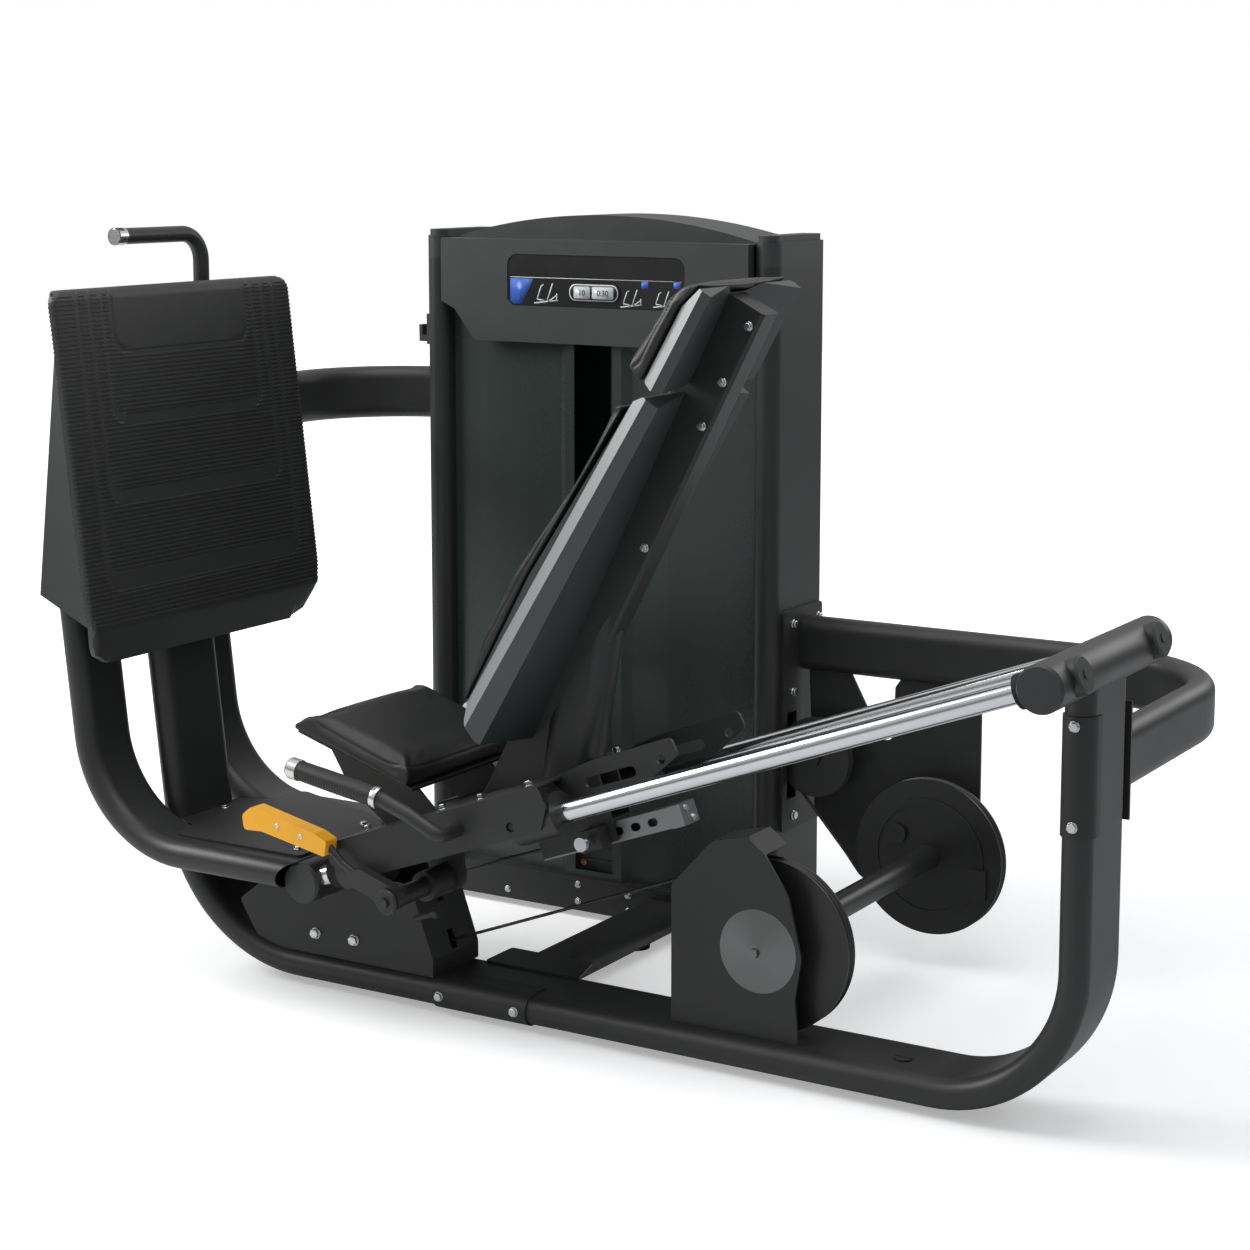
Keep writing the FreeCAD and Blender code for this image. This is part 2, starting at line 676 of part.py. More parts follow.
def tower_base():
    outer = box(TOWER_X0, TOWER_X1, 355, TOWER_Y1, BASE_Z0, BASE_Z1)
    inner = box(TOWER_X0 + 4, TOWER_X1 - 4, 359, TOWER_Y1 - 4, BASE_Z0 + 4, BASE_Z1 - 4)
    shelf = box(TOWER_X - 170, TOWER_X + 170, STACK_Y0, STACK_Y1, BASE_Z1, STACK_Z)
    return join(outer.cut(inner), shelf)


def stack_guide_rods():
    rods = []
    for side in (-1, 1):
        x = TOWER_X + side * STACK_ROD_X
        rods.append(cyl(STACK_ROD_R, (x, CABLE_Y, STACK_Z), (0, 0, 1), 1225 - STACK_Z))
    return rods


def stack_plate(z, height, stem_clear, rod_clear):
    x0, x1 = TOWER_X - STACK_W / 2, TOWER_X + STACK_W / 2
    pts = [(x0, STACK_Y0), (x1, STACK_Y0), (x1, STACK_Y1), (x0, STACK_Y1)]
    body = slab_z(pts, z, z + height, 8)
    for side in (-1, 1):
        body = body.cut(cyl(STACK_ROD_R + rod_clear, (TOWER_X + side * STACK_ROD_X, CABLE_Y, z),
                            (0, 0, 1), height))
    if stem_clear is not None:
        body = body.cut(cyl(STEM_R + stem_clear, (TOWER_X, CABLE_Y, z), (0, 0, 1), height))
    return body


def pin_z():
    return STACK_Z + (PLATES - LIFTED) * PLATE_PITCH + PLATE_T / 2


def pin_hole(z):
    return cyl(5.05, (TOWER_X, STACK_Y0 - 1, z), (0, 1, 0), 80)


def weight_stack_rest():
    return [stack_plate(STACK_Z + i * PLATE_PITCH, PLATE_T, FREE, FREE)
            for i in range(PLATES - LIFTED)]


def weight_stack_lifted():
    """The plates above the pin, the head plate and the stem that hangs down through the rest."""
    plates = []
    for i in range(PLATES - LIFTED, PLATES):
        plate = stack_plate(STACK_Z + i * PLATE_PITCH, PLATE_T, 0.0, FIT)
        plates.append(plate)
    top = STACK_Z + PLATES * PLATE_PITCH
    head = stack_plate(top, 30, 0.0, FIT)
    stem = cyl(STEM_R, (TOWER_X, CABLE_Y, STACK_Z + 10), (0, 0, 1), STEM_TOP - STACK_Z - 10)
    lug = cyl(17, (TOWER_X, CABLE_Y, top + 30), (0, 0, 1), STEM_TOP - 8 - top - 30)
    stem = join(stem, lug)
    hole = pin_hole(pin_z())
    return [p.cut(hole) for p in plates] + [head, stem.cut(hole)]


def selector_pin():
    z = pin_z()
    shank = cyl(5, (TOWER_X, STACK_Y0 - 24, z), (0, 1, 0), 24 + 70)
    head = Part.makeCone(20, 15, 16, V(TOWER_X, STACK_Y0 - 24, z), V(0, -1, 0))
    return join(shank, head)


def pulley_hangers():
    """Straps under the lid that carry the two top pulleys on their axles."""
    parts = []
    half = 12.0
    for x, z in (TOP_A, TOP_B):
        axle = cyl(8, (x, CABLE_Y - half - 8, z), (0, 1, 0), 2 * half + 16)
        straps = [box(x - 11, x + 11, y - 2, y + 2, z - 20, 1420)
                  for y in (CABLE_Y - half - 2.5, CABLE_Y + half + 2.5)]
        parts.append(join(axle, *straps))
    return parts


def towel_hook():
    plate = box(TOWER_X0 - 10, TOWER_X0, 388, 420, 1195, 1260)
    hook = slab_y([(TOWER_X0 - 10, 1214), (TOWER_X0 - 10, 1200), (TOWER_X0 - 34, 1200),
                   (TOWER_X0 - 34, 1236), (TOWER_X0 - 26, 1236), (TOWER_X0 - 26, 1214)], 394, 414)
    return join(plate, hook)


def cross_beam():
    """Floor tube from the skid to the tower base, with a foot plate at each end."""
    x = -167.0
    y0 = SKID_Y + SKID_W / 2
    tube = oval_tube([(x, y0, SKID_Z), (x, 349, SKID_Z)], 0, (1, 0, 0), 110)
    skid_plate = slab_z([(-254, -175), (-43, -175), (-70, y0 + 60), (-254, y0 + 60)], 68, 73, 6)
    pad = box(x - 100, x + 100, 349, 355, 15, 84)
    return join(tube.cut(front_beam_cut()), pad), skid_plate


def front_beam_cut():
    sleeve = oval((-300, SKID_Y, SKID_Z), (1, 0, 0), (0, 1, 0), SKID_W, TUBE_T)
    return Part.Face(sleeve).extrude(V(400, 0, 0))


# ---------------------------------------------------------------- side rails and brackets
def rear_side_rail():
    z = REAR_RAIL_Z
    points = [(TOWER_X1 + 6, SIDE_RAIL_Y, z), (POST_X, SIDE_RAIL_Y, z), (POST_X, -138, z)]
    tube = oval_tube(points, REAR_BEND, (0, 0, 1), RAIL_H)
    flange = box(POST_X - 30, POST_X + 30, -143, -138, 515, 715)
    return tube, flange


def upper_side_rail():
    z = UPPER_RAIL_Z
    points = [(TOWER_X0, SIDE_RAIL_Y, z), (-1013, SIDE_RAIL_Y, z), (-1013, 0, z)]
    tube = oval_tube(points, 243, (0, 0, 1), RAIL_H)
    tube = tube.cut(housing_block(0))
    return max(tube.Solids, key=lambda s: s.Volume)


def tower_side_plate():
    """Plate bolted to the right column that carries the rear rail."""
    z0, z1 = 235.0, 690.0
    plate = slab_x([(400, z0), (570, z0), (570, z1), (400, z1)], TOWER_X1, TOWER_X1 + 6, 10)
    slot = box(TOWER_X1 - 1, TOWER_X1 + 7, CABLE_Y - 20, CABLE_Y + 20, 300, 480)
    return plate.cut(slot)


def far_bracket_plate():
    """Hanging plate under the rear rail that carries the shaft's far bearing."""
    z = REAR_RAIL_Z - RAIL_H / 2
    pts = [(96, z + 3), (96, 545), (110, 275), (215, 145), (300, 120), (430, 120), (474, 170),
           (474, 537), (440, z + 3), (300, z + 3), (288, 545), (284, 439), (262, 430), (190, z + 3)]
    plate = slab_y(pts, 487, 493, [0, 0, 20, 30, 30, 30, 30, 10, 0, 0, 8, 14, 14, 0])
    rail_cut = oval_tube([(90, SIDE_RAIL_Y, REAR_RAIL_Z), (700, SIDE_RAIL_Y, REAR_RAIL_Z)], 0,
                         (0, 0, 1), RAIL_H, hollow=False)
    x, zz = SHAFT
    bearing = ring(44, SHAFT_R + FIT, (x, 466, zz), (0, 1, 0), 21)
    plate = plate.cut(rail_cut).cut(cyl(SHAFT_R + FREE, (x, 480, zz), (0, 1, 0), 20))
    px, pz = DOWN_X + SMALL_ROW, SMALL_PULLEY_Z
    axle = cyl(10, (px, CABLE_Y - 16, pz), (0, 1, 0), 490 - CABLE_Y + 13)
    boss = ring(18, 10, (px, CABLE_Y + 14, pz), (0, 1, 0), 487 - CABLE_Y - 14)
    head = cyl(16, (px, CABLE_Y - 18, pz), (0, 1, 0), 4)
    return join(plate, bearing, axle, boss, head)


def near_pulley_bracket():
    """Plate standing on the skid outside the near wheel, its top folded over as a hood."""
    y = -280.0
    pts = [(218, 67), (472, 67), (466, 150), (478, 225), (452, 330), (405, 400), (370, 427),
           (300, 410), (218, 320)]
    plate = slab_y(pts, y, y + 5, [0, 0, 30, 40, 30, 12, 12, 30, 20])
    x, z = SHAFT
    hood = slab_y([(300, 410), (370, 427), (405, 400), (402, 396), (369, 422), (301, 405)],
                  y + 5, PRESS_Y + 30)
    bearing = ring(40, SHAFT_R + FIT, (x, y + 5, z), (0, 1, 0), 18)
    foot = box(226, 466, y + 5, y + 35, 68, 72)
    body = join(plate, hood, bearing, foot)
    body = body.cut(cyl(SHAFT_R + FREE, (x, y - 1, z), (0, 1, 0), 7))
    return body.cut(skid_block())


def skid_block():
    points = [(SPLICE_X, SKID_Y, SKID_Z), (POST_X, SKID_Y, SKID_Z), (POST_X, SKID_Y, 700)]
    return oval_tube(points, REAR_BEND, (0, 1, 0), SKID_W, hollow=False)


# ---------------------------------------------------------------- carriage
SIDE_OUT = PRESS_Y - 443.0 - PRESS_Y     # outer face of the near side plate
CAR_HALF = 218.0
PLATE_N0 = -19.0
PLATE_N1 = 60.0


def side_plate():
    y0 = PRESS_Y - CAR_HALF
    outline = [rail(96, PLATE_N1), rail(590, PLATE_N1), rail(600, 20), rail(575, PLATE_N0),
               rail(190, PLATE_N0), rail(120, 0), rail(96, 20)]
    plate = slab_y(outline, y0, y0 + 4.5, [14, 10, 10, 14, 20, 20, 10])
    for s, n, r in ((400, 23, 14), (514, 2, 9)):
        plate = plate.cut(cyl(r, rail3(s, n, y0 - 1), (0, 1, 0), 8))
    flange = tilted_box(110, 585, PLATE_N1 - 4.5, PLATE_N1, y0 + 4.5, y0 + 96)
    inner = tilted_box(550, 585, 30, PLATE_N1, y0 + 92, y0 + 96)
    return join(plate, flange)


def tail_plate():
    """Rear arm beside the upright with an obround window."""
    y0 = PRESS_Y - 125.0
    outline = [rail(560, 55), rail(600, 14), rail(760, 12), rail(833, 42), rail(829, 75),
               rail(650, 72), rail(560, 60)]
    plate = slab_y(outline, y0, y0 + 6, [0, 20, 20, 10, 10, 20, 0])
    window = bent([rail3(631, 25, y0 - 1), rail3(741, 25, y0 - 1), rail3(741, 45, y0 - 1),
                   rail3(631, 45, y0 - 1)], 9.9, True)
    plate = plate.cut(Part.Face(window).extrude(V(0, 8, 0)))
    return plate.cut(cyl(9, rail3(797, 42, y0 - 1), (0, 1, 0), 8))


def carriage_plates():
    """Side plates with folded top flanges, joined by a deck and two tail plates."""
    near, tail = side_plate(), tail_plate()
    deck = tilted_box(200, 560, PLATE_N1 - 6, PLATE_N1, PRESS_Y - 122, PRESS_Y + 122)
    cross = tilted_box(560, 600, PLATE_N1 - 6, PLATE_N1, PRESS_Y - 119, PRESS_Y + 119)
    whole = [near, mirror(near), tail, mirror(tail), deck, cross]
    return join(*whole)


def bearing_housings():
    parts = []
    for side in (-1, 1):
        y = PRESS_Y + side * RAIL_Y
        for s0, s1 in ((96.0, 190.0), (505.0, 600.0)):
            tube = cyl(40, rail3(s0, 0, y), ALONG, s1 - s0)
            saddle = tilted_box(s0 + 16, s1 - 20, 20, PLATE_N1 - 4.5, y - 30, y + 30)
            body = join(tube, saddle).cut(rod(side, s0 - 5, s1 + 5, RAIL_R + FIT))
            y_out = PRESS_Y + side * CAR_HALF
            wall = sorted((y_out, y_out - side * 4.5))
            parts.append(body.cut(tilted_box(s0 - 5, s1 + 5, -60, 70, wall[0], wall[1])))
    return parts


def rack_channel():
    """Inverted channel that holds the rack bar, with the lever's hanger plate."""
    y0, y1 = PRESS_Y - 34.0, PRESS_Y + 34.0
    sides = [tilted_box(430, 600, -84, PLATE_N1 - 6, y, y + 5) for y in (y0, y1 - 5)]
    top = tilted_box(430, 600, RACK_N1 + 1, RACK_N1 + 6, y0 + 5, y1 - 5)
    pin_hole_cut = cyl(8 + FIT, rail3(LOCK_S, RACK_MID, y0 - 40), (0, 1, 0), 50)
    block = tilted_box(LOCK_S - 22, LOCK_S + 22, -88, -50, y0 - 30, y0)
    spine = tilted_box(200, 430, -30, PLATE_N1 - 6, y0 - 40, y0 - 34)
    hanger = slab_y([rail(200, -30), rail(205, -95), rail(273, -95), rail(285, -30)],
                    y0 - 40, y0 - 34, [0, 30, 30, 0])
    tube = ring(28, LEVER_R + FIT, (LEVER[0], y0 - 110, LEVER[1]), (0, 1, 0), 70)
    link = tilted_box(225, 255, -45, PLATE_N1 - 6, y0 - 108, y0 - 100)
    body = join(*sides, top, block).cut(pin_hole_cut)
    arm = join(spine, hanger, tube)
    arm = arm.cut(cyl(LEVER_R + FREE, (LEVER[0], y0 - 45, LEVER[1]), (0, 1, 0), 20))
    bridge = tilted_box(405, 432, 30, PLATE_N1 - 6, y0 - 40, y0 + 5)
    return join(body, arm, bridge)


RACK_MID = (RACK_N0 + RACK_N1) / 2
LOCK_S = 563.0
LEVER = (-258.0, 265.0)
LEVER_R = 18.0


def rack_bar():
    """Slotted box bar that couples the carriage to the cable, with a chromed end block."""
    y0, y1 = PRESS_Y - 25.0, PRESS_Y + 25.0
    bar = tilted_box(RACK_S0, RACK_S1 - 26, RACK_N0, RACK_N1, y0, y1)
    bar = bar.cut(tilted_box(RACK_S0 + 12, RACK_S1, RACK_N0 + 5, RACK_N1 - 5, y0 + 5, y1 - 5))
    for i in range(7):
        s = LOCK_S + (i - 3) * 38
        wire = bent([rail3(s - 10.5, RACK_MID - 7.5, y0 - 1), rail3(s + 10.5, RACK_MID - 7.5, y0 - 1),
                     rail3(s + 10.5, RACK_MID + 7.5, y0 - 1), rail3(s - 10.5, RACK_MID + 7.5, y0 - 1)],
                    7.4, True)
        bar = bar.cut(Part.Face(wire).extrude(V(0, 8, 0)))
    block = tilted_box(RACK_S1 - 26, RACK_S1, RACK_N0 - 1, RACK_N1 + 1, y0 - 1, y1 + 1)
    anchor = tilted_box(RACK_S0 - 10, RACK_S0, RACK_N0, RACK_N1, y0 + 12, y1 - 12)
    return bar, join(block), anchor


def lock_pin():
    y = PRESS_Y - 25 + 4
    body = cyl(6.5, rail3(LOCK_S, RACK_MID, y - 60), (0, 1, 0), 60)
    shank = cyl(8, rail3(LOCK_S, RACK_MID, y - 70), (0, 1, 0), 60)
    knob = cyl(13, rail3(LOCK_S, RACK_MID, y - 78), (0, 1, 0), 8)
    return join(body, shank, knob)


LEVER_PLANE = -466.0
GRIP_A = (-402.0, 345.0)
GRIP_B = (-578.0, 380.0)


def lever_rod():
    y = LEVER_PLANE
    points = [(-336, y, 297), (-370, y, 317), (GRIP_A[0], y, GRIP_A[1]),
              (GRIP_B[0] + 30, y, GRIP_B[1] - 6)]
    return round_tube(points, [0, 12, 16, 0], 7)


def lever_shaft():
    """Cross shaft of the release lever with its forged fork and rod."""
    x, z = LEVER
    shaft = cyl(LEVER_R, (x, -485, z), (0, 1, 0), 195)
    disc_end = Part.makeCone(24, 21, 5, V(x, -485, z), V(0, -1, 0))
    screw = cyl(9, (x, -496, z), (0, 1, 0), 6)
    fork = [(x - 8, z - 24), (x + 24, z - 12), (x + 16, z + 24), (x - 66, z + 50), (x - 96, z + 40),
            (x - 92, z + 16), (x - 44, z + 2)]
    yoke = slab_y(fork, -477, -455, [16, 18, 16, 14, 10, 12, 14])
    return join(shaft, disc_end, screw, yoke, lever_rod())


def lever_grip():
    """Moulded hand grip, hooked at its free end, over the lever's rod."""
    (ax, az), (bx, bz) = GRIP_A, GRIP_B
    pts = [(ax + 4, az - 17), (ax + 8, az + 12), (ax - 20, az + 24), (bx + 10, bz + 20),
           (bx - 12, bz + 2), (bx - 8, bz - 26), (bx + 34, bz - 24)]
    body = slab_y(pts, LEVER_PLANE - 17, LEVER_PLANE + 17, [5, 5, 12, 14, 12, 8, 14])
    return body.cut(lever_rod())


# ---------------------------------------------------------------- seat and back
def seat_pad():
    pts = [(-498, 574), (-262, 496), (-256, 470), (-269, 452), (-530, 533), (-538, 548)]
    return slab_y(pts, PRESS_Y - 186, PRESS_Y + 186, [20, 14, 8, 6, 8, 14])


def seat_pan():
    """Tray under the seat pad and the two wedge plates that stand it on the deck."""
    tray = slab_y([(-269, 452), (-530, 533), (-532, 527), (-271, 446)],
                  PRESS_Y - 160, PRESS_Y + 160)
    wedges = []
    for side in (-1, 1):
        y = PRESS_Y + side * 118 - 3
        pts = [(-300, 455), (-500, 517), (-440, 420), rail(170, PLATE_N1), rail(290, PLATE_N1)]
        wedges.append(slab_y(pts, y, y + 6, [0, 0, 20, 0, 0]))
    return join(tray, *wedges)


UPRIGHT_TOP = (331.0, 1350.0)
UPRIGHT_LEAN = 27.3
UPRIGHT_W = 104.0
UPRIGHT_R = 7.0


def upright_point(down, across):
    """Point in the XZ plane from distance down the upright and across towards the rear."""
    a = math.radians(UPRIGHT_LEAN)
    x = UPRIGHT_TOP[0] - down * math.sin(a) + across * math.cos(a)
    return (x, UPRIGHT_TOP[1] - down * math.cos(a) - across * math.sin(a))


def upright_section(at, extra):
    """Rounded rectangle across the upright at a point of its centre line."""
    a = math.radians(UPRIGHT_LEAN)
    across = V(math.cos(a), 0, -math.sin(a))
    h, t = UPRIGHT_W / 2 + extra, TUBE_T / 2 + extra
    corners = [V(*at) + across * i * h + V(0, j * t, 0) for i, j in ((-1, -1), (1, -1), (1, 1), (-1, 1))]
    return Part.Face(bent([tuple(c) for c in corners], UPRIGHT_R + extra, True))


def upright_block(hollow=True):
    x, z = upright_point(1090, 0)
    run = V(UPRIGHT_TOP[0] - x, 0, UPRIGHT_TOP[1] - z)
    bar = upright_section((x, PRESS_Y, z), 0).extrude(run)
    if not hollow:
        return bar
    return bar.cut(upright_section((x, PRESS_Y, z), -WALL).extrude(run))


def upright_lid():
    """Plastic cap on the upright's open top."""
    a = math.radians(UPRIGHT_LEAN)
    top = (UPRIGHT_TOP[0], PRESS_Y, UPRIGHT_TOP[1])
    return upright_section(top, 1).extrude(V(math.sin(a), 0, math.cos(a)) * 7)


def back_upright():
    """Upright and the strut saddled over its back edge, both welded to the deck."""
    under = tilted_box(0, 1500, -400, PLATE_N1, -500, 100)
    tube = upright_block().cut(under)
    strut = oval_tube([(-42, PRESS_Y, 370), (42, PRESS_Y, 880)], 0, (0.987, 0, -0.163), 120,
                      TUBE_T + 14, 9)
    cope = slab_y([(103, 834), (-117, 479), (-300, 300), (-300, 1000), (206, 1000)], -300, -150)
    strut = strut.cut(upright_block(False)).cut(cope).cut(under)
    strut = max(strut.Solids, key=lambda s: s.Volume)
    return join(tube, strut), upright_lid()


def wedge(side_pts, radii, front, lean, half, low, high):
    """Cushion shell: a side outline crossed with a plan outline that changes along the lean.

    low and high are (run from the front point, depth of the rear crease, depth at the upright).
    """
    body = slab_y(side_pts, PRESS_Y - half, PRESS_Y + half, radii)
    a = math.radians(lean)
    u = V(math.sin(a), 0, math.cos(a))
    w = V(math.cos(a), 0, -math.sin(a))
    wires = []
    for run, crease, middle in (low, high):
        start = V(front[0], PRESS_Y, front[1]) + u * run
        plan = [(-20, -half + 14), (0, -half + 14), (26, -half), (crease, -half + 3)]
        plan.append((middle, -TUBE_T / 2))
        plan += [(d, -y) for d, y in reversed(plan)]
        pts = [start + w * d + V(0, y, 0) for d, y in plan]
        wires.append(Part.makePolygon(pts + pts[:1]))
    return body.common(Part.makeLoft(wires, True, True))


def back_shell():
    pts = [(-152, 626), (-154, 590), (-130, 558), (-75, 535), (266, 1168), (222, 1196),
           (196, 1186), (-20, 865)]
    body = wedge(pts, [20, 16, 20, 14, 8, 10, 0, 0], (-152, 626), 31.8, 165,
                 (-60, 68, 97), (840, 49, 8))
    return body.cut(upright_block(False))


def back_pad():
    pts = [(-151.5, 627), (-19.5, 866), (180, 1173), (173, 1208), (78, 1053), (-49, 871),
           (-118, 747), (-155, 651), (-166, 616)]
    return slab_y(pts, PRESS_Y - 160, PRESS_Y + 160, [0, 0, 6, 12, 0, 60, 100, 40, 4])


def head_shell():
    pts = [(217, 1221), (240, 1205), (282, 1200), (352, 1322), (357, 1366), (331, 1382),
           (290, 1349)]
    body = wedge(pts, [8, 12, 12, 16, 14, 3, 0], (217, 1221), 30.0, 165,
                 (-60, 46, 25), (240, 44, 7))
    return body.cut(upright_block(False)).cut(upright_lid())


def head_pad():
    pts = [(216, 1222), (289, 1350), (330, 1383), (336, 1392), (296, 1388), (262, 1362),
           (180, 1244), (208, 1216)]
    pad = slab_y(pts, PRESS_Y - 160, PRESS_Y + 160, [0, 0, 0, 3, 20, 20, 10, 8])
    return pad.cut(upright_block(False)).cut(upright_lid())


def seat_handle():
    y_out = PRESS_Y - CAR_HALF
    tube = round_tube([(-130, y_out - 0.0, 409), (-130, -500, 409), (-190, -505, 440),
                       (-253, -505, 462), (-449, -505, 493)], [0, 14, 30, 60, 0], 14, 11)
    return tube


def handle_grips():
    grips = []
    grip = round_tube([(-262, -505, 463.4), (-440, -505, 491.6)], 0, 19, 14.3)
    collars = [round_tube([(-253.2, -505, 462.04), (-261.8, -505, 463.4)], 0, 20, 14.8),
               round_tube([(-440.2, -505, 491.6), (-456, -505, 494.1)], 0, 20, 14.3)]
    for piece in [grip] + collars:
        grips += [piece, mirror(piece)]
    return grips


# ---------------------------------------------------------------- fasteners
def bolt(at, along, r=8.0, h=5.5):
    a = V(*along).normalize()
    washer = cyl(r + 1.5, at, along, 1.5)
    head = Part.makeCone(r, r - 1, h, V(*at) + a * 1.5, a)
    return join(washer, head)


def frame_bolts():
    bolts = []
    nose = SKID_Y - SKID_W / 2 - 4
    for x in (-261, -93):
        bolts.append(bolt((x, nose, SKID_Z), (0, -1, 0)))
    for z in (703, 538):
        bolts.append(bolt((POST_X, nose, z), (0, -1, 0)))
    for x, z in ((-565, 109), (-473, 110)):
        bolts.append(bolt((x, -300, z), (0, -1, 0), 10, 7))
    for x, y in ((-868, -204), (-549, -372), (-549, -165)):
        bolts.append(bolt((x, y, 296), (0, 0, 1), 7, 4))
    for y, z in ((443, 660), (552, 660), (444, 521), (449, 263)):
        bolts.append(bolt((TOWER_X1 + 6, y, z), (1, 0, 0)))
    for x, z in ((-252, 68), (-252, 32), (-82, 68), (-82, 32)):
        bolts.append(bolt((x, 349, z), (0, -1, 0), 7, 5))
    for x, z in ((-558, 34), (-380, 70), (-380, 34)):
        bolts.append(bolt((x, 355, z), (0, -1, 0), 6, 3))
    return bolts


def carriage_bolts():
    bolts = []
    for s in (150, 330, 420, 530):
        for side in (-1, 1):
            bolts.append(bolt(rail3(s, PLATE_N1, PRESS_Y + side * 150), UP, 7, 8))
    for down in (25, 135, 223, 473):
        p = upright_point(down, 35)
        bolts.append(bolt((p[0], PRESS_Y - 27, p[1]), (0, -1, 0), 7))
    for n in (-1, 1):
        at = rail3(RACK_S1, RACK_MID + n * 10, PRESS_Y - 8 * n)
        bolts.append(bolt(at, ALONG, 5, 3))
    return bolts


def build():
    out("front_skid", front_skid())
    skid, plug = rear_skid()
    out("rear_skid", skid, plug)
    out("splice_plates", *splice_plates())
    out("rubber_buffers", *rubber_feet(), *bumpers())
    out("front_cross_tube", cross_tube(FRONT_TUBE, -424, -26, lambda side: rod(side)))
    out("rear_cross_tube", rear_cross_tube())
    out("tube_caps", *tube_caps())
    out("guide_rods", *guide_rods())
    out("foot_arms", foot_arm(-1), foot_arm(1))
    out("footplate_housing", footplate_housing())
    out("footplate_face", footplate_face())
    handle = round_tube([(-1010, -72, 1330), (-1010, -72, 1441), (-1016, -300, 1441)], 55, 16, 13)
    tip = round_tube([(-1016, -300, 1441), (-1016.5, -319, 1441)], 0, 17)
    out("footplate_handle", handle.cut(housing_block(0)), tip)
    out("deck_plate", deck_plate())
    out("gusset_box", gusset_box(), nose_axle())
    out("cross_beam", *cross_beam())
    out("tower_base", tower_base())
    out("left_column", column(True))
    out("right_column", right_column())
    out("tower_caps", *tower_caps())
    out("console_housing", console_housing(), *pulley_hangers())
    out("placard", placard())
    out("front_shroud", front_shroud())
    out("rear_shroud", rear_shroud())
    out("towel_hook", towel_hook())
    out("stack_guide_rods", *stack_guide_rods())
    out("weight_stack_rest", *weight_stack_rest())
    out("weight_stack_lifted", *weight_stack_lifted())
    out("selector_pin", selector_pin())
    out("upper_side_rail", upper_side_rail())
    out("rear_side_rail", *rear_side_rail())
    out("side_brackets", tower_side_plate(), far_bracket_plate())
    out("near_pulley_bracket", near_pulley_bracket())
    out("frame_bolts", *frame_bolts())
    out("drive_shaft", drive_shaft())
    out("near_pulley", near_pulley())
    out("far_pulley", far_pulley())
    out("nose_pulley", nose_pulley())
    out("small_pulley", small_pulley())
    out("top_pulley_left", top_pulley(TOP_A))
    out("top_pulley_right", top_pulley(TOP_B))
    out("drive_cable", drive_cable())
    out("stack_cable", stack_cable())
    out("stack_cable_drop", stack_cable_drop())
    out("carriage_plates", carriage_plates())
    out("bearing_housings", *bearing_housings())
    out("rack_channel", rack_channel())
    out("rack_bar", *rack_bar())
    out("lock_pin", lock_pin())
    out("lever_shaft", lever_shaft())
    out("lever_grip", lever_grip())
    out("seat_pan", seat_pan())
    out("seat_pad", seat_pad())
    out("back_upright", *back_upright())
    out("back_shell", back_shell())
    out("back_pad", back_pad())
    out("head_shell", head_shell())
    out("head_pad", head_pad())
    out("seat_handles", seat_handle(), mirror(seat_handle()))
    out("handle_grips", *handle_grips())
    out("carriage_bolts", *carriage_bolts())


build()
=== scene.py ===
import math

import bmesh
import bpy
from mathutils import Matrix, Vector
from mathutils.bvhtree import BVHTree


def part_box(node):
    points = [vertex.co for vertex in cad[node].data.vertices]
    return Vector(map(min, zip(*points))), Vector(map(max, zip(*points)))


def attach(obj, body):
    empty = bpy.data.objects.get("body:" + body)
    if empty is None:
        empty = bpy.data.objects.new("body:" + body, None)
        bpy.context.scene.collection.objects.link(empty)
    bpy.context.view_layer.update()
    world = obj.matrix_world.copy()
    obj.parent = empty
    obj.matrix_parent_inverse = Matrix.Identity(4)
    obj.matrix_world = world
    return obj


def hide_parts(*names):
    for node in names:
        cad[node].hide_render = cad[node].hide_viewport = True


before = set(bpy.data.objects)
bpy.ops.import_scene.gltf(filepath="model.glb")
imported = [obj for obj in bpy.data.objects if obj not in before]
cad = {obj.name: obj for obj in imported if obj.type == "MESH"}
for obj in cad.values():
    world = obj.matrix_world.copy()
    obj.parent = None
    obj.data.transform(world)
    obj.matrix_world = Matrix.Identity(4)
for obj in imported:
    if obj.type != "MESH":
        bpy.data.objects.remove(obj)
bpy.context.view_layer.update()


# Studio: a pale seamless floor under an even white sky, one large soft lamp over the
# footplate side and two weaker ones, so that black paint still shows its round tubes.
def node_after(tree, kind, **values):
    """A shader node with values typed straight on its sockets and settings."""
    node = tree.nodes.new(kind)
    for name, value in values.items():
        if hasattr(node, name):
            setattr(node, name, value)
        else:
            node.inputs[name].default_value = value
    return node


def seen_directly(tree):
    """Two numbers: 1 for rays that see a thing itself or through glass, 1 for mirrored rays."""
    path = tree.nodes.new("ShaderNodeLightPath")
    either = node_after(tree, "ShaderNodeMath", operation="MAXIMUM")
    tree.links.new(path.outputs["Is Camera Ray"], either.inputs[0])
    tree.links.new(path.outputs["Is Transmission Ray"], either.inputs[1])
    return either.outputs[0], path.outputs["Is Glossy Ray"]


def ranged(tree, source, low, high, low_value=0.0, high_value=1.0):
    """Eases a number from one range to another."""
    node = node_after(tree, "ShaderNodeMapRange", interpolation_type="SMOOTHSTEP")
    for label, value in (("From Min", low), ("From Max", high), ("To Min", low_value),
                         ("To Max", high_value)):
        node.inputs[label].default_value = value
    tree.links.new(source, node.inputs["Value"])
    return node.outputs[0]


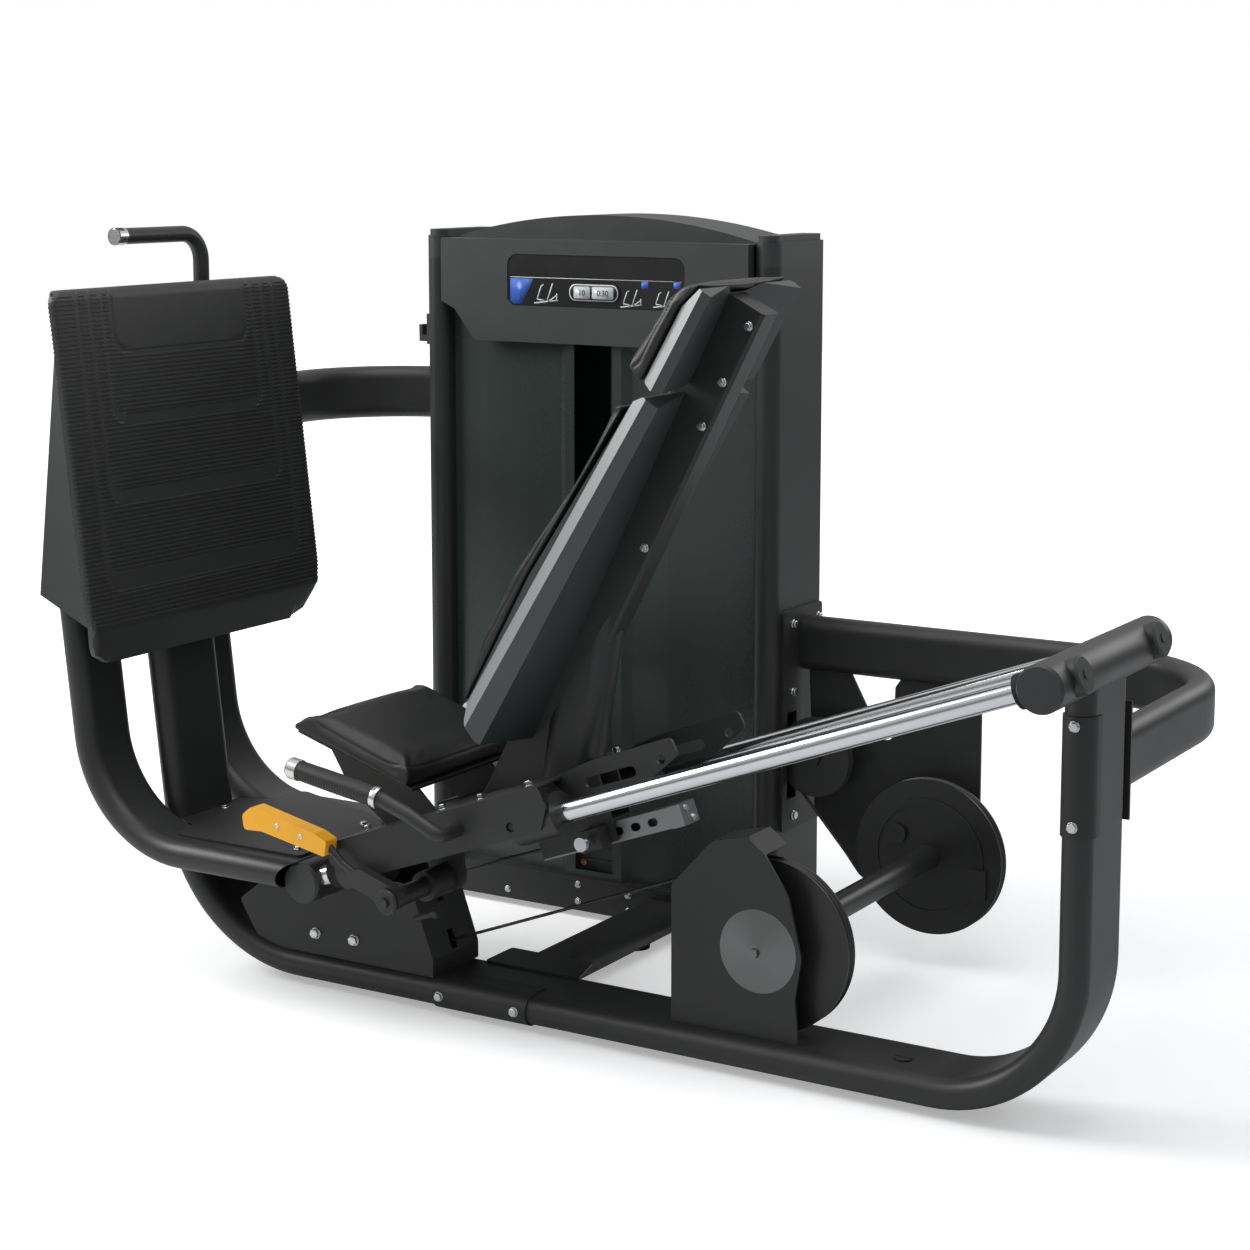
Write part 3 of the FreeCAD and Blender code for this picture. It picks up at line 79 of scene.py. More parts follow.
scene = bpy.context.scene
scene.view_settings.view_transform = "Standard"
world = bpy.data.worlds.new("studio_sky")
scene.world = world
world.use_nodes = True
sky = world.node_tree
sky.nodes.clear()
sky_out = sky.nodes.new("ShaderNodeOutputWorld")
soft_sky = node_after(sky, "ShaderNodeBackground", Color=(0.93, 0.96, 1, 1), Strength=0.42)
white_sky = node_after(sky, "ShaderNodeBackground", Color=(1, 1, 1, 1), Strength=1.0)
mirror_sky = sky.nodes.new("ShaderNodeBackground")
direction = sky.nodes.new("ShaderNodeTexCoord")
height = sky.nodes.new("ShaderNodeSeparateXYZ")
sky.links.new(direction.outputs["Generated"], height.inputs[0])
sky.links.new(ranged(sky, height.outputs["Z"], -0.15, 0.65, 0.22), mirror_sky.inputs["Strength"])
direct, mirrored = seen_directly(sky)
mix_mirror = sky.nodes.new("ShaderNodeMixShader")
mix_direct = sky.nodes.new("ShaderNodeMixShader")
sky.links.new(mirrored, mix_mirror.inputs[0])
sky.links.new(soft_sky.outputs[0], mix_mirror.inputs[1])
sky.links.new(mirror_sky.outputs[0], mix_mirror.inputs[2])
sky.links.new(direct, mix_direct.inputs[0])
sky.links.new(mix_mirror.outputs[0], mix_direct.inputs[1])
sky.links.new(white_sky.outputs[0], mix_direct.inputs[2])
sky.links.new(mix_direct.outputs[0], sky_out.inputs[0])

floor_mesh = bpy.data.meshes.new("floor")
FLOOR_HALF = 14.0
floor_mesh.from_pydata([(x * FLOOR_HALF, y * FLOOR_HALF, 0)
                        for x, y in ((-1, -1), (1, -1), (1, 1), (-1, 1))], [], [(0, 1, 2, 3)])
floor = bpy.data.objects.new("floor", floor_mesh)
scene.collection.objects.link(floor)
floor.location.z = -0.0004
floor_paint = bpy.data.materials.new("floor_paint")
floor_paint.use_nodes = True
tree = floor_paint.node_tree
surface = tree.nodes["Principled BSDF"]
surface.inputs["Base Color"].default_value = (0.84, 0.84, 0.84, 1)
surface.inputs["Roughness"].default_value = 0.7
surface.inputs["Specular IOR Level"].default_value = 0.1
lift = node_after(tree, "ShaderNodeEmission", Color=(1, 1, 1, 1))
where = tree.nodes.new("ShaderNodeNewGeometry")
reach_out = node_after(tree, "ShaderNodeVectorMath", operation="LENGTH")
tree.links.new(where.outputs["Position"], reach_out.inputs[0])
tree.links.new(ranged(tree, reach_out.outputs["Value"], 1.6, 4.5, 0.36),
               lift.inputs["Strength"])
direct = seen_directly(tree)[0]
shown = tree.nodes.new("ShaderNodeMixShader")
dark = node_after(tree, "ShaderNodeEmission", Color=(0, 0, 0, 1), Strength=0.0)
both = tree.nodes.new("ShaderNodeAddShader")
tree.links.new(direct, shown.inputs[0])
tree.links.new(dark.outputs[0], shown.inputs[1])
tree.links.new(lift.outputs[0], shown.inputs[2])
tree.links.new(surface.outputs[0], both.inputs[0])
tree.links.new(shown.outputs[0], both.inputs[1])
tree.links.new(both.outputs[0], tree.nodes["Material Output"].inputs[0])
floor_mesh.materials.append(floor_paint)


def soft_lamp(name, place, target, size, watts):
    """A square soft box aimed at a point."""
    data = bpy.data.lights.new(name, "AREA")
    data.shape = "SQUARE"
    data.size = size
    data.energy = watts
    lamp = bpy.data.objects.new(name, data)
    scene.collection.objects.link(lamp)
    lamp.location = place
    aim = Vector(target) - Vector(place)
    lamp.rotation_euler = aim.to_track_quat("-Z", "Y").to_euler()
    return lamp


soft_lamp("key_softbox", (-3.6, -1.6, 3.0), (0, -0.1, 0.7), 2.2, 150)
soft_lamp("top_softbox", (0.2, -0.6, 4.2), (0, 0, 0.5), 3.0, 70)
soft_lamp("back_softbox", (1.8, 3.6, 2.4), (0, 0.2, 0.8), 1.8, 25)

camera_data = bpy.data.cameras.new("camera")
camera_data.sensor_width = 36.0
camera_data.lens = 74.59
camera_data.shift_y = -0.0939
camera = bpy.data.objects.new("camera", camera_data)
scene.collection.objects.link(camera)
camera.location = (2.479, -4.130, 1.620)
camera.rotation_euler = (math.radians(82), 0, math.radians(31.26))
scene.camera = camera


# Welded frame: bent flat-oval steel tubes that make the floor skid, the two arms of the
# footplate, the posts and the side rails, all in one satin black powder coat.
def effect(name, inputs, outputs):
    """An empty shader node group with typed inputs and outputs."""
    group = bpy.data.node_groups.new(name, "ShaderNodeTree")
    for label, kind, value in inputs:
        socket = group.interface.new_socket(label, in_out="INPUT", socket_type=kind)
        socket.default_value = value
    for label, kind in outputs:
        group.interface.new_socket(label, in_out="OUTPUT", socket_type=kind)
    group.nodes.new("NodeGroupInput")
    group.nodes.new("NodeGroupOutput")
    return group


COLOUR, NUMBER = "NodeSocketColor", "NodeSocketFloat"
SURFACE_IN = [("Color", COLOUR, (0.5, 0.5, 0.5, 1)), ("Tone", NUMBER, 0.1),
              ("Roughness", NUMBER, 0.5), ("Roughness Spread", NUMBER, 0.08)]
SURFACE_OUT = [("Color", COLOUR), ("Roughness", NUMBER), ("Height", NUMBER)]


def number(tree, operation, *values):
    """A sum, product or the like of sockets and plain numbers."""
    node = node_after(tree, "ShaderNodeMath", operation=operation)
    for socket, value in zip(node.inputs, values):
        if isinstance(value, float):
            socket.default_value = value
        else:
            tree.links.new(value, socket)
    return node.outputs[0]


def vary(group, swing):
    """Lets a signed number swing the tone and the roughness of a surface effect."""
    get, put = group.nodes["Group Input"], group.nodes["Group Output"]
    shade = node_after(group, "ShaderNodeVectorMath", operation="SCALE")
    group.links.new(get.outputs["Color"], shade.inputs[0])
    group.links.new(number(group, "MULTIPLY_ADD", swing, get.outputs["Tone"], 1.0),
                    shade.inputs["Scale"])
    group.links.new(shade.outputs[0], put.inputs["Color"])
    group.links.new(number(group, "MULTIPLY_ADD", swing, get.outputs["Roughness Spread"],
                           get.outputs["Roughness"]), put.inputs["Roughness"])


def grain_effect(name, coarse, fine, stretch=(1, 1, 1)):
    """Two sizes of noise in the piece's own space: coarse for tone, fine for relief."""
    group = effect(name, SURFACE_IN, SURFACE_OUT)
    space = group.nodes.new("ShaderNodeTexCoord")
    scaled = node_after(group, "ShaderNodeVectorMath", operation="MULTIPLY")
    scaled.inputs[1].default_value = stretch
    group.links.new(space.outputs["Object"], scaled.inputs[0])
    big = node_after(group, "ShaderNodeTexNoise", Scale=coarse, Detail=3.0)
    small = node_after(group, "ShaderNodeTexNoise", Scale=fine, Detail=2.0)
    for noise in (big, small):
        group.links.new(scaled.outputs[0], noise.inputs["Vector"])
    both = number(group, "ADD", big.outputs["Fac"], small.outputs["Fac"])
    vary(group, number(group, "SUBTRACT", both, 1.0))
    group.links.new(small.outputs["Fac"], group.nodes["Group Output"].inputs["Height"])
    return group


def coated(name, group, color, tone=0.15, rough=0.45, spread=0.1, relief=0.05, depth=0.0005,
           **sockets):
    """A material whose colour, roughness and relief come from one effect."""
    material = bpy.data.materials.new(name)
    material.use_nodes = True
    tree = material.node_tree
    shader = tree.nodes["Principled BSDF"]
    for label, value in sockets.items():
        shader.inputs[label.replace("_", " ")].default_value = value
    source = tree.nodes.new("ShaderNodeGroup")
    source.node_tree = group
    source.inputs["Color"].default_value = (*color, 1)
    source.inputs["Tone"].default_value = tone
    source.inputs["Roughness"].default_value = rough
    source.inputs["Roughness Spread"].default_value = spread
    bump = node_after(tree, "ShaderNodeBump", Strength=relief, Distance=depth)
    tree.links.new(source.outputs["Color"], shader.inputs["Base Color"])
    tree.links.new(source.outputs["Roughness"], shader.inputs["Roughness"])
    tree.links.new(source.outputs["Height"], bump.inputs["Height"])
    tree.links.new(bump.outputs[0], shader.inputs["Normal"])
    return material


def dress(material, *names):
    """Gives CAD nodes a finish."""
    for name in names:
        piece = cad[name]
        if not piece.material_slots:
            piece.data.materials.append(material)
        for slot in piece.material_slots:
            slot.material = material


def soften(width, *names, segments=2, angle=35):
    """Breaks the sharp edges of CAD nodes, as a press brake, a grinder or a mould leaves them."""
    for name in names:
        edge = cad[name].modifiers.new("broken_edges", "BEVEL")
        edge.width = width
        edge.segments = segments
        edge.limit_method = "ANGLE"
        edge.angle_limit = math.radians(angle)
        edge.harden_normals = True


powder = grain_effect("powder_coat_grain", 9.0, 1400.0)
frame_coat = coated("frame_coat", powder, (0.020, 0.0203, 0.0208), tone=0.25, rough=0.42,
                    spread=0.12, relief=0.10, depth=0.0003, Specular_IOR_Level=0.42)
dress(frame_coat, "front_skid", "rear_skid", "foot_arms", "front_cross_tube", "rear_cross_tube",
      "cross_beam", "tower_base", "left_column", "right_column", "upper_side_rail",
      "rear_side_rail", "bearing_housings", "lever_shaft", "seat_handles",
      "back_upright", "footplate_handle")


# Cut and folded plates: the deck, the gusset box, brackets, sleeves and the carriage sides
# are laser-cut sheet in a slightly flatter coat, with edges broken by tumbling.
plate_coat = coated("plate_coat", powder, (0.020, 0.0203, 0.0208), tone=0.22, rough=0.5,
                    spread=0.1, relief=0.12, depth=0.0003, Specular_IOR_Level=0.38)
dress(plate_coat, "splice_plates", "deck_plate", "gusset_box", "side_brackets",
      "near_pulley_bracket", "carriage_plates", "rack_channel", "seat_pan")
soften(0.0008, "splice_plates", "deck_plate", "gusset_box", "side_brackets",
       "near_pulley_bracket", "carriage_plates", "rack_channel", "seat_pan")


# Feet and buffers: moulded black rubber pads under the floor tubes and stop rings on the
# guide rods, matt and a little dusty.
rubber_grain = grain_effect("rubber_grain", 25.0, 700.0)
rubber = coated("black_rubber", rubber_grain, (0.012, 0.012, 0.012), tone=0.4, rough=0.75,
                spread=0.15, relief=0.2, depth=0.0004, Specular_IOR_Level=0.25)
dress(rubber, "rubber_buffers")


# Tube caps and tower covers: dark grey-green moulded plastic with a spark-eroded grain, its
# rims broken so that they catch a thin line of light.
moulded = grain_effect("moulded_grain", 14.0, 900.0)
cap_plastic = coated("cap_plastic", moulded, (0.030, 0.033, 0.033), tone=0.35, rough=0.48,
                     spread=0.12, relief=0.16, depth=0.0004, Specular_IOR_Level=0.4)
dress(cap_plastic, "tube_caps", "tower_caps", "towel_hook", "selector_pin")
soften(0.0015, "tube_caps", "tower_caps", angle=30)
soften(0.0012, "towel_hook", "selector_pin")
cover_plastic = coated("cover_plastic", moulded, (0.036, 0.038, 0.038), tone=0.3, rough=0.5,
                       spread=0.1, relief=0.14, depth=0.0004, Specular_IOR_Level=0.4)
dress(cover_plastic, "console_housing")
soften(0.002, "console_housing", segments=3)
wedge_plastic = coated("wedge_plastic", moulded, (0.0085, 0.0092, 0.0090), tone=0.3, rough=0.58,
                       spread=0.1, relief=0.14, depth=0.0004, Specular_IOR_Level=0.35)
dress(wedge_plastic, "footplate_housing")
soften(0.006, "footplate_housing", segments=3)


# Guide rods: ground and hard-chromed steel bars, drawn bright along their length with the
# faint lines that grinding leaves round them.
lay = grain_effect("ground_lines", 4.0, 900.0, (1.0, 0.02, 1.0))
chrome_rod = coated("chrome_rod", lay, (0.62, 0.63, 0.65), tone=0.08, rough=0.16, spread=0.10,
                    relief=0.01, depth=0.0002, Metallic=1.0)
dress(chrome_rod, "guide_rods")
satin_steel = coated("satin_steel", lay, (0.42, 0.43, 0.44), tone=0.15, rough=0.32, spread=0.12,
                     relief=0.02, depth=0.0002, Metallic=1.0)
dress(satin_steel, "stack_guide_rods", "lock_pin")


# Footplate mat: the rubber of the tread, glued to the wedge-shaped housing. Its ribs are
# moulded further down, once turned and drawn pieces can be made.
tread = coated("tread_rubber", rubber_grain, (0.0225, 0.0228, 0.0230), tone=0.3, rough=0.46,
               spread=0.12, relief=0.2, depth=0.0004, Specular_IOR_Level=0.5)
dress(tread, "footplate_face")


# Tower shrouds: thick sheet in a dark grey-green satin lacquer, bowed back to the rims of the pin
# slot, with soft upright streaks of painted sheen in its colour and matching streaks of
# roughness.
# Painted sheen: coarse noise stretched upright makes light and dark streaks in the colour.
painted_sheen_streaks = grain_effect("lacquer_painted_sheen_streaks", 5.0, 1500.0, (1.0, 1.0, 0.12))
lacquer = coated("shroud_lacquer", painted_sheen_streaks, (0.032, 0.041, 0.038), tone=0.35, rough=0.3,
                 spread=0.14, relief=0.05, depth=0.0002, Specular_IOR_Level=0.5)
dress(lacquer, "front_shroud", "rear_shroud")
soften(0.001, "front_shroud")


# Shroud neck: a bent sheet on each side that closes the gap between the top of the bowed
# front shroud and the console above it, in the shroud's lacquer.
def mesh_of(name, bm):
    """A named mesh from a finished bmesh, which is let go."""
    mesh = bpy.data.meshes.new(name)
    bm.to_mesh(mesh)
    bm.free()
    return mesh


hood_low, hood_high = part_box("console_housing")
shroud_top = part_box("front_shroud")[1][2]
centre_x, half_x = (hood_low[0] + hood_high[0]) / 2, (hood_high[0] - hood_low[0]) / 2
NECK_GAP, NECK_SHEET, NECK_RISE = 0.0004, 0.002, 0.0795
neck_plan = [(half_x, 0.402), (half_x - 0.070, 0.396), (0.170, 0.383), (0.128, 0.3815)]
neck = bmesh.new()
for side in (-1, 1):
    front_low, back_low, front_high, back_high = (
        [neck.verts.new((centre_x + side * d, y + back, level)) for d, y in neck_plan]
        for level in (shroud_top + NECK_GAP, hood_low[2] + NECK_RISE)
        for back in (0, NECK_SHEET))
    for k in range(len(neck_plan) - 1):
        for a, b in ((front_low, front_high), (front_high, back_high), (back_high, back_low),
                     (back_low, front_low)):
            neck.faces.new((a[k], a[k + 1], b[k + 1], b[k]))
    for k in (0, -1):
        neck.faces.new((front_low[k], front_high[k], back_high[k], back_low[k]))
bmesh.ops.recalc_face_normals(neck, faces=neck.faces)
shroud_neck = bpy.data.objects.new("shroud_neck", mesh_of("shroud_neck", neck))
shroud_neck.data.materials.append(lacquer)
scene.collection.objects.link(shroud_neck)
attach(shroud_neck, "frame")


# Weight stack: sixteen cast iron plates under a head plate, painted, with machined edges.
cast = grain_effect("cast_skin", 60.0, 500.0)
iron = coated("cast_iron_paint", cast, (0.028, 0.029, 0.030), tone=0.4, rough=0.5, spread=0.15,
              relief=0.25, depth=0.0005, Specular_IOR_Level=0.4)
dress(iron, "weight_stack_rest", "weight_stack_lifted")
soften(0.0012, "weight_stack_rest", "weight_stack_lifted")


# Wheels: turned and moulded black cable wheels; the two large ones carry a hub cone with
# fine turning rings.
wheel_black = coated("wheel_black", powder, (0.014, 0.0142, 0.0147), tone=0.25, rough=0.38,
                     spread=0.12, relief=0.08, depth=0.0003, Specular_IOR_Level=0.45)
dress(wheel_black, "near_pulley", "far_pulley", "nose_pulley", "small_pulley",
      "top_pulley_left", "top_pulley_right")
soften(0.001, "near_pulley", "far_pulley")


# Drive shaft: a black tube whose near end wears a shallow turned hub cone, left in bare dark
# satin metal that throws a round sheen.
HUB_FACE = -0.2797


def recolour(tree, shader, mask, color):
    """Lays a second colour over a material's own where a mask is 1."""
    blend = node_after(tree, "ShaderNodeMix", data_type="RGBA")
    blend.inputs["B"].default_value = (*color, 1)
    tree.links.new(mask, blend.inputs["Factor"])
    tree.links.new(shader.inputs["Base Color"].links[0].from_socket, blend.inputs["A"])
    tree.links.new(blend.outputs["Result"], shader.inputs["Base Color"])


def hub_material():
    material = coated("hub_cone", powder, (0.020, 0.0203, 0.0208), tone=0.2, rough=0.36,
                      spread=0.1, relief=0.04, depth=0.0003)
    tree = material.node_tree
    shader = tree.nodes["Principled BSDF"]
    place = tree.nodes.new("ShaderNodeTexCoord")
    split = tree.nodes.new("ShaderNodeSeparateXYZ")
    tree.links.new(place.outputs["Object"], split.inputs[0])
    bare = number(tree, "LESS_THAN", split.outputs["Y"], HUB_FACE)
    recolour(tree, shader, bare, (0.15, 0.157, 0.155))
    tree.links.new(bare, shader.inputs["Metallic"])
    return material


dress(hub_material(), "drive_shaft")
soften(0.0008, "drive_shaft")


# Cables: twisted steel rope in a smooth black nylon jacket, led over the wheels and clamped at
# both ends.
jacket = coated("nylon_jacket", rubber_grain, (0.014, 0.014, 0.014), tone=0.2, rough=0.35,
                spread=0.1, relief=0.1, depth=0.0002, Specular_IOR_Level=0.45)
dress(jacket, "drive_cable", "stack_cable", "stack_cable_drop")


# Rack bar: a slotted box bar in satin grey that joins the carriage to the drive cable, with a
# bright machined end block.
bar_steel = coated("rack_steel", lay, (0.20, 0.205, 0.21), tone=0.2, rough=0.4, spread=0.12,
                   relief=0.03, depth=0.0002, Metallic=0.85)
dress(bar_steel, "rack_bar")
soften(0.001, "rack_bar")


# Release lever: a moulded yellow hand grip on a bent black rod.
yellow = coated("lever_yellow", moulded, (0.90, 0.42, 0.012), tone=0.06, rough=0.38, spread=0.06,
                relief=0.06, depth=0.0003, Specular_IOR_Level=0.5)
dress(yellow, "lever_grip")
soften(0.0035, "lever_grip", segments=3, angle=30)
soften(0.0012, "lever_shaft")


# Back and head shells: dark grey-green gloss mouldings whose long chamfers carry a painted
# highlight, a light silver grey laid into their colour in place of the light they catch.
# Direction of the chamfer faces that get the painted highlight.
HIGHLIGHT_CHAMFER_NORMAL = (-0.403, 0.88, 0.25)


def shell_material():
    material = coated("shell_plastic", moulded, (0.042, 0.050, 0.048), tone=0.2, rough=0.36,
                      spread=0.08, relief=0.06, depth=0.0003, Specular_IOR_Level=0.45)
    tree = material.node_tree
    shader = tree.nodes["Principled BSDF"]
    facing = tree.nodes.new("ShaderNodeNewGeometry")
    split = tree.nodes.new("ShaderNodeSeparateXYZ")
    tree.links.new(facing.outputs["Normal"], split.inputs[0])
    joined = tree.nodes.new("ShaderNodeCombineXYZ")
    tree.links.new(split.outputs["X"], joined.inputs["X"])
    tree.links.new(number(tree, "ABSOLUTE", split.outputs["Y"]), joined.inputs["Y"])
    tree.links.new(split.outputs["Z"], joined.inputs["Z"])
    highlight_facing = node_after(tree, "ShaderNodeVectorMath", operation="DOT_PRODUCT")
    highlight_facing.inputs[1].default_value = HIGHLIGHT_CHAMFER_NORMAL
    tree.links.new(joined.outputs[0], highlight_facing.inputs[0])
    # Painted highlight: faces turned toward the chamfer direction are recoloured light silver
    # grey.
    recolour(tree, shader, ranged(tree, highlight_facing.outputs["Value"], 0.955, 0.99),
             (0.26, 0.275, 0.27))
    return material


dress(shell_material(), "back_shell", "head_shell")
soften(0.003, "back_shell", "head_shell", segments=3, angle=18)


# Cushions: moulded foam in black vinyl skins sewn round their front rims. The skins are
# filled by air pressure, so they crown, and keep flat backs where they are screwed down.
def drawn_point(x, y, z):
    """A place in the frame from the drawing's millimetres, whose zero lies 20 mm behind."""
    return Vector(((x + 20) / 1000, y / 1000, z / 1000))


def new_piece(name, mesh, material, body, smooth=0):
    """Links a mesh as a named piece that rides on a body and takes one material."""
    piece = bpy.data.objects.new(name, mesh)
    scene.collection.objects.link(piece)
    mesh.materials.clear()
    mesh.materials.append(material)
    for face in mesh.polygons:
        face.use_smooth = True
    if smooth:
        mesh.set_sharp_from_angle(angle=math.radians(smooth))
    if body:
        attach(piece, body)
    return piece


def evaluated_mesh(piece):
    """The mesh that an object's modifiers or letters make."""
    return bpy.data.meshes.new_from_object(
        piece.evaluated_get(bpy.context.evaluated_depsgraph_get()))


def ease(bm, passes):
    """Draws every point toward its neighbours."""
    for _ in range(passes):
        bmesh.ops.smooth_vert(bm, verts=bm.verts, factor=0.5, use_axis_x=True, use_axis_y=True,
                              use_axis_z=True)


def skin_of(name, node, shrink, voxel):
    """A closed even skin a little inside a CAD cushion, with its corners eased."""
    copy = bpy.data.objects.new(name, cad[node].data.copy())
    scene.collection.objects.link(copy)
    remesh = copy.modifiers.new("even_skin", "REMESH")
    remesh.mode = "VOXEL"
    remesh.voxel_size = voxel
    mesh = evaluated_mesh(copy)
    bpy.data.objects.remove(copy)
    bm = bmesh.new()
    bm.from_mesh(mesh)
    ease(bm, 4)
    bm.normal_update()
    for vert in bm.verts:
        vert.co -= vert.normal * shrink
    bm.to_mesh(mesh)
    bm.free()
    return mesh


BACK_DEPTH, BACK_FACING = 0.012, -0.6
AIR_PRESSURE = 4.0


def inflate(pads, steps=20):
    """Fills cloth skins with air. pads: {piece: (rest point, rest normal, furthest move)}."""
    starts = {}
    for piece, (rest, normal, most) in pads.items():
        starts[piece] = [v.co.copy() for v in piece.data.vertices]
        held = piece.vertex_groups.new(name="held")
        held.add([v.index for v in piece.data.vertices
                  if abs((v.co - rest).dot(normal)) < BACK_DEPTH
                  and v.normal.dot(normal) < BACK_FACING], 1.0, "REPLACE")
        cloth = piece.modifiers.new("air", "CLOTH")
        cloth.settings.quality = 4
        cloth.settings.use_pressure = True
        cloth.settings.uniform_pressure_force = AIR_PRESSURE
        cloth.settings.effector_weights.gravity = 0.0
        cloth.settings.vertex_group_mass = "held"
    for step in range(1, steps + 1):
        scene.frame_set(step)
    graph = bpy.context.evaluated_depsgraph_get()
    for piece, (rest, normal, most) in pads.items():
        full = bpy.data.meshes.new_from_object(piece.evaluated_get(graph))
        for vert, start in zip(full.vertices, starts[piece]):
            move = vert.co - start
            if move.length > most:
                vert.co = start + move.normalized() * most
        piece.modifiers.clear()
        piece.data = full
    scene.frame_set(1)


def finish_skin(piece, settle=7):
    """Eases and subdivides a filled skin once, as the last step of its shape."""
    bm = bmesh.new()
    bm.from_mesh(piece.data)
    ease(bm, settle)
    bm.to_mesh(piece.data)
    bm.free()
    rounds = piece.modifiers.new("round", "SUBSURF")
    rounds.levels = rounds.render_levels = 1
    full = evaluated_mesh(piece)
    piece.modifiers.clear()
    piece.data = full
    for face in full.polygons:
        face.use_smooth = True


ROUNDNESS, STRAIGHT_SHARE = 7, 0.93
RAY_START, RAY_REACH = 0.15, 0.3


def rim_line(piece, centre, along, normal, reach, rise, count):
    """Points and normals on a cushion's rounded rim, found by rays from outside it."""
    bm = bmesh.new()
    bm.from_mesh(piece.data)
    tree = BVHTree.FromBMesh(bm)
    across = Vector((0, 1, 0))
    half_a, half_b = reach
    found = []
    for i in range(count):
        angle = 2 * math.pi * i / count
        c, s = math.cos(angle), math.sin(angle)
        size = 1 / (abs(c) ** ROUNDNESS + abs(s) ** ROUNDNESS) ** (1 / ROUNDNESS)
        out = along * c + across * s
        place = centre + along * (half_a * c * size) + across * (half_b * s * size)
        if abs(c) * size > STRAIGHT_SHARE and abs(s) * size < STRAIGHT_SHARE:
            out = along * math.copysign(1, c)
        elif abs(s) * size > STRAIGHT_SHARE and abs(c) * size < STRAIGHT_SHARE:
            out = across * math.copysign(1, s)
        look = -(out.normalized() + normal * rise).normalized()
        hit = tree.ray_cast(place - look * RAY_START, look, RAY_REACH)
        if hit[0] is not None:
            found.append((hit[0], hit[1]))
    bm.free()
    return found


def press_line(piece, line, width, depth):
    """Draws a cushion's skin in along a sewn line."""
    bm = bmesh.new()
    bm.from_mesh(piece.data)
    from_line = bmesh.new()
    last = None
    for place, _ in line + line[:1]:
        vert = from_line.verts.new(place)
        side = from_line.verts.new(place + Vector((1e-4, 1e-4, 1e-4)))
        if last:
            from_line.faces.new((last[0], vert, side, last[1]))
        last = (vert, side)
    tree = BVHTree.FromBMesh(from_line)
    from_line.free()
    bm.normal_update()
    for vert in bm.verts:
        near = tree.find_nearest(vert.co, width)
        if near[0] is not None:
            share = 1 - near[3] / width
            vert.co -= vert.normal * depth * share * share
    bm.to_mesh(piece.data)
    bm.free()


def thread_line(bm, line, pitch, length, radius, lift=0.0002):
    """Adds a row of short stitches along a line of points and normals."""
    walked, due = 0.0, 0.0
    for (a, na), (b, nb) in zip(line, line[1:] + line[:1]):
        span = (b - a).length
        if span > 0.03 or span < 1e-6:
            continue
        way = (b - a) / span
        while due <= walked + span:
            t = (due - walked) / span
            place = a.lerp(b, t) + na.lerp(nb, t).normalized() * lift
            side = way.cross(na).normalized()
            turn = Matrix((way, side, way.cross(side))).transposed().to_4x4()
            size = Matrix.Diagonal((length / 2, radius, radius, 1))
            bmesh.ops.create_icosphere(bm, subdivisions=1, radius=1.0,
                                       matrix=Matrix.Translation(place) @ turn @ size)
            due += pitch
        walked += span


def leather_effect():
    """Fine creased cells of a vinyl skin with slow changes of tone and polish."""
    group = effect("vinyl_grain", SURFACE_IN, SURFACE_OUT)
    space = group.nodes.new("ShaderNodeTexCoord")
    cells = node_after(group, "ShaderNodeTexVoronoi", feature="DISTANCE_TO_EDGE", Scale=620.0)
    slow = node_after(group, "ShaderNodeTexNoise", Scale=11.0, Detail=4.0)
    for node in (cells, slow):
        group.links.new(space.outputs["Object"], node.inputs["Vector"])
    group.links.new(ranged(group, cells.outputs["Distance"], 0.0, 0.22),
                    group.nodes["Group Output"].inputs["Height"])
    vary(group, number(group, "SUBTRACT", slow.outputs["Fac"], 0.5))
    return group


vinyl = coated("black_vinyl", leather_effect(), (0.0105, 0.0106, 0.0108), tone=0.35, rough=0.42,
               spread=0.2, relief=0.22, depth=0.0003, Specular_IOR_Level=0.45)
thread = coated("black_thread", rubber_grain, (0.022, 0.022, 0.022), tone=0.3, rough=0.6,
                spread=0.1, relief=0.3, depth=0.0002)
recline, head_tip, seat_tip = math.radians(31.8), math.radians(30), math.atan2(78, 236)
back_up = Vector((math.sin(recline), 0, math.cos(recline)))
back_out = Vector((-math.cos(recline), 0, math.sin(recline)))
head_up = Vector((math.sin(head_tip), 0, math.cos(head_tip)))
head_out = Vector((-math.cos(head_tip), 0, math.sin(head_tip)))
seat_up = Vector((math.cos(seat_tip), 0, -math.sin(seat_tip)))
seat_out = Vector((math.sin(seat_tip), 0, math.cos(seat_tip)))
# node, rest point, up, outward, shrink, furthest move, middle of the rim, half sizes of the rim
cushions = {
    "seat_cushion": ("seat_pad", drawn_point(-400, -225, 490), seat_up, seat_out, 0.0045, 0.008,
                     drawn_point(-392, -225, 520), (0.118, 0.172)),
    "back_cushion": ("back_pad", drawn_point(-19.5, -225, 866), back_up, back_out, 0.003, 0.008,
                     drawn_point(0, -225, 900), (0.30, 0.146)),
    "head_cushion": ("head_pad", drawn_point(252, -225, 1286), head_up, head_out, 0.002, 0.005,
                     drawn_point(250, -225, 1300), (0.082, 0.146)),
}
SKIN_VOXEL = 0.0055
GROOVE_WIDTH, GROOVE_DEPTH, GROOVE_RISE = 0.006, 0.0016, 1.0
STITCH_PITCH, STITCH_LENGTH, STITCH_RADIUS, STITCH_RISE = 0.0065, 0.0046, 0.0006, 1.35
RIM_POINTS = 260
made = {name: new_piece(name, skin_of(name, c[0], c[4], SKIN_VOXEL), vinyl, None)
        for name, c in cushions.items()}
inflate({made[name]: (c[1], c[3], c[5]) for name, c in cushions.items()})
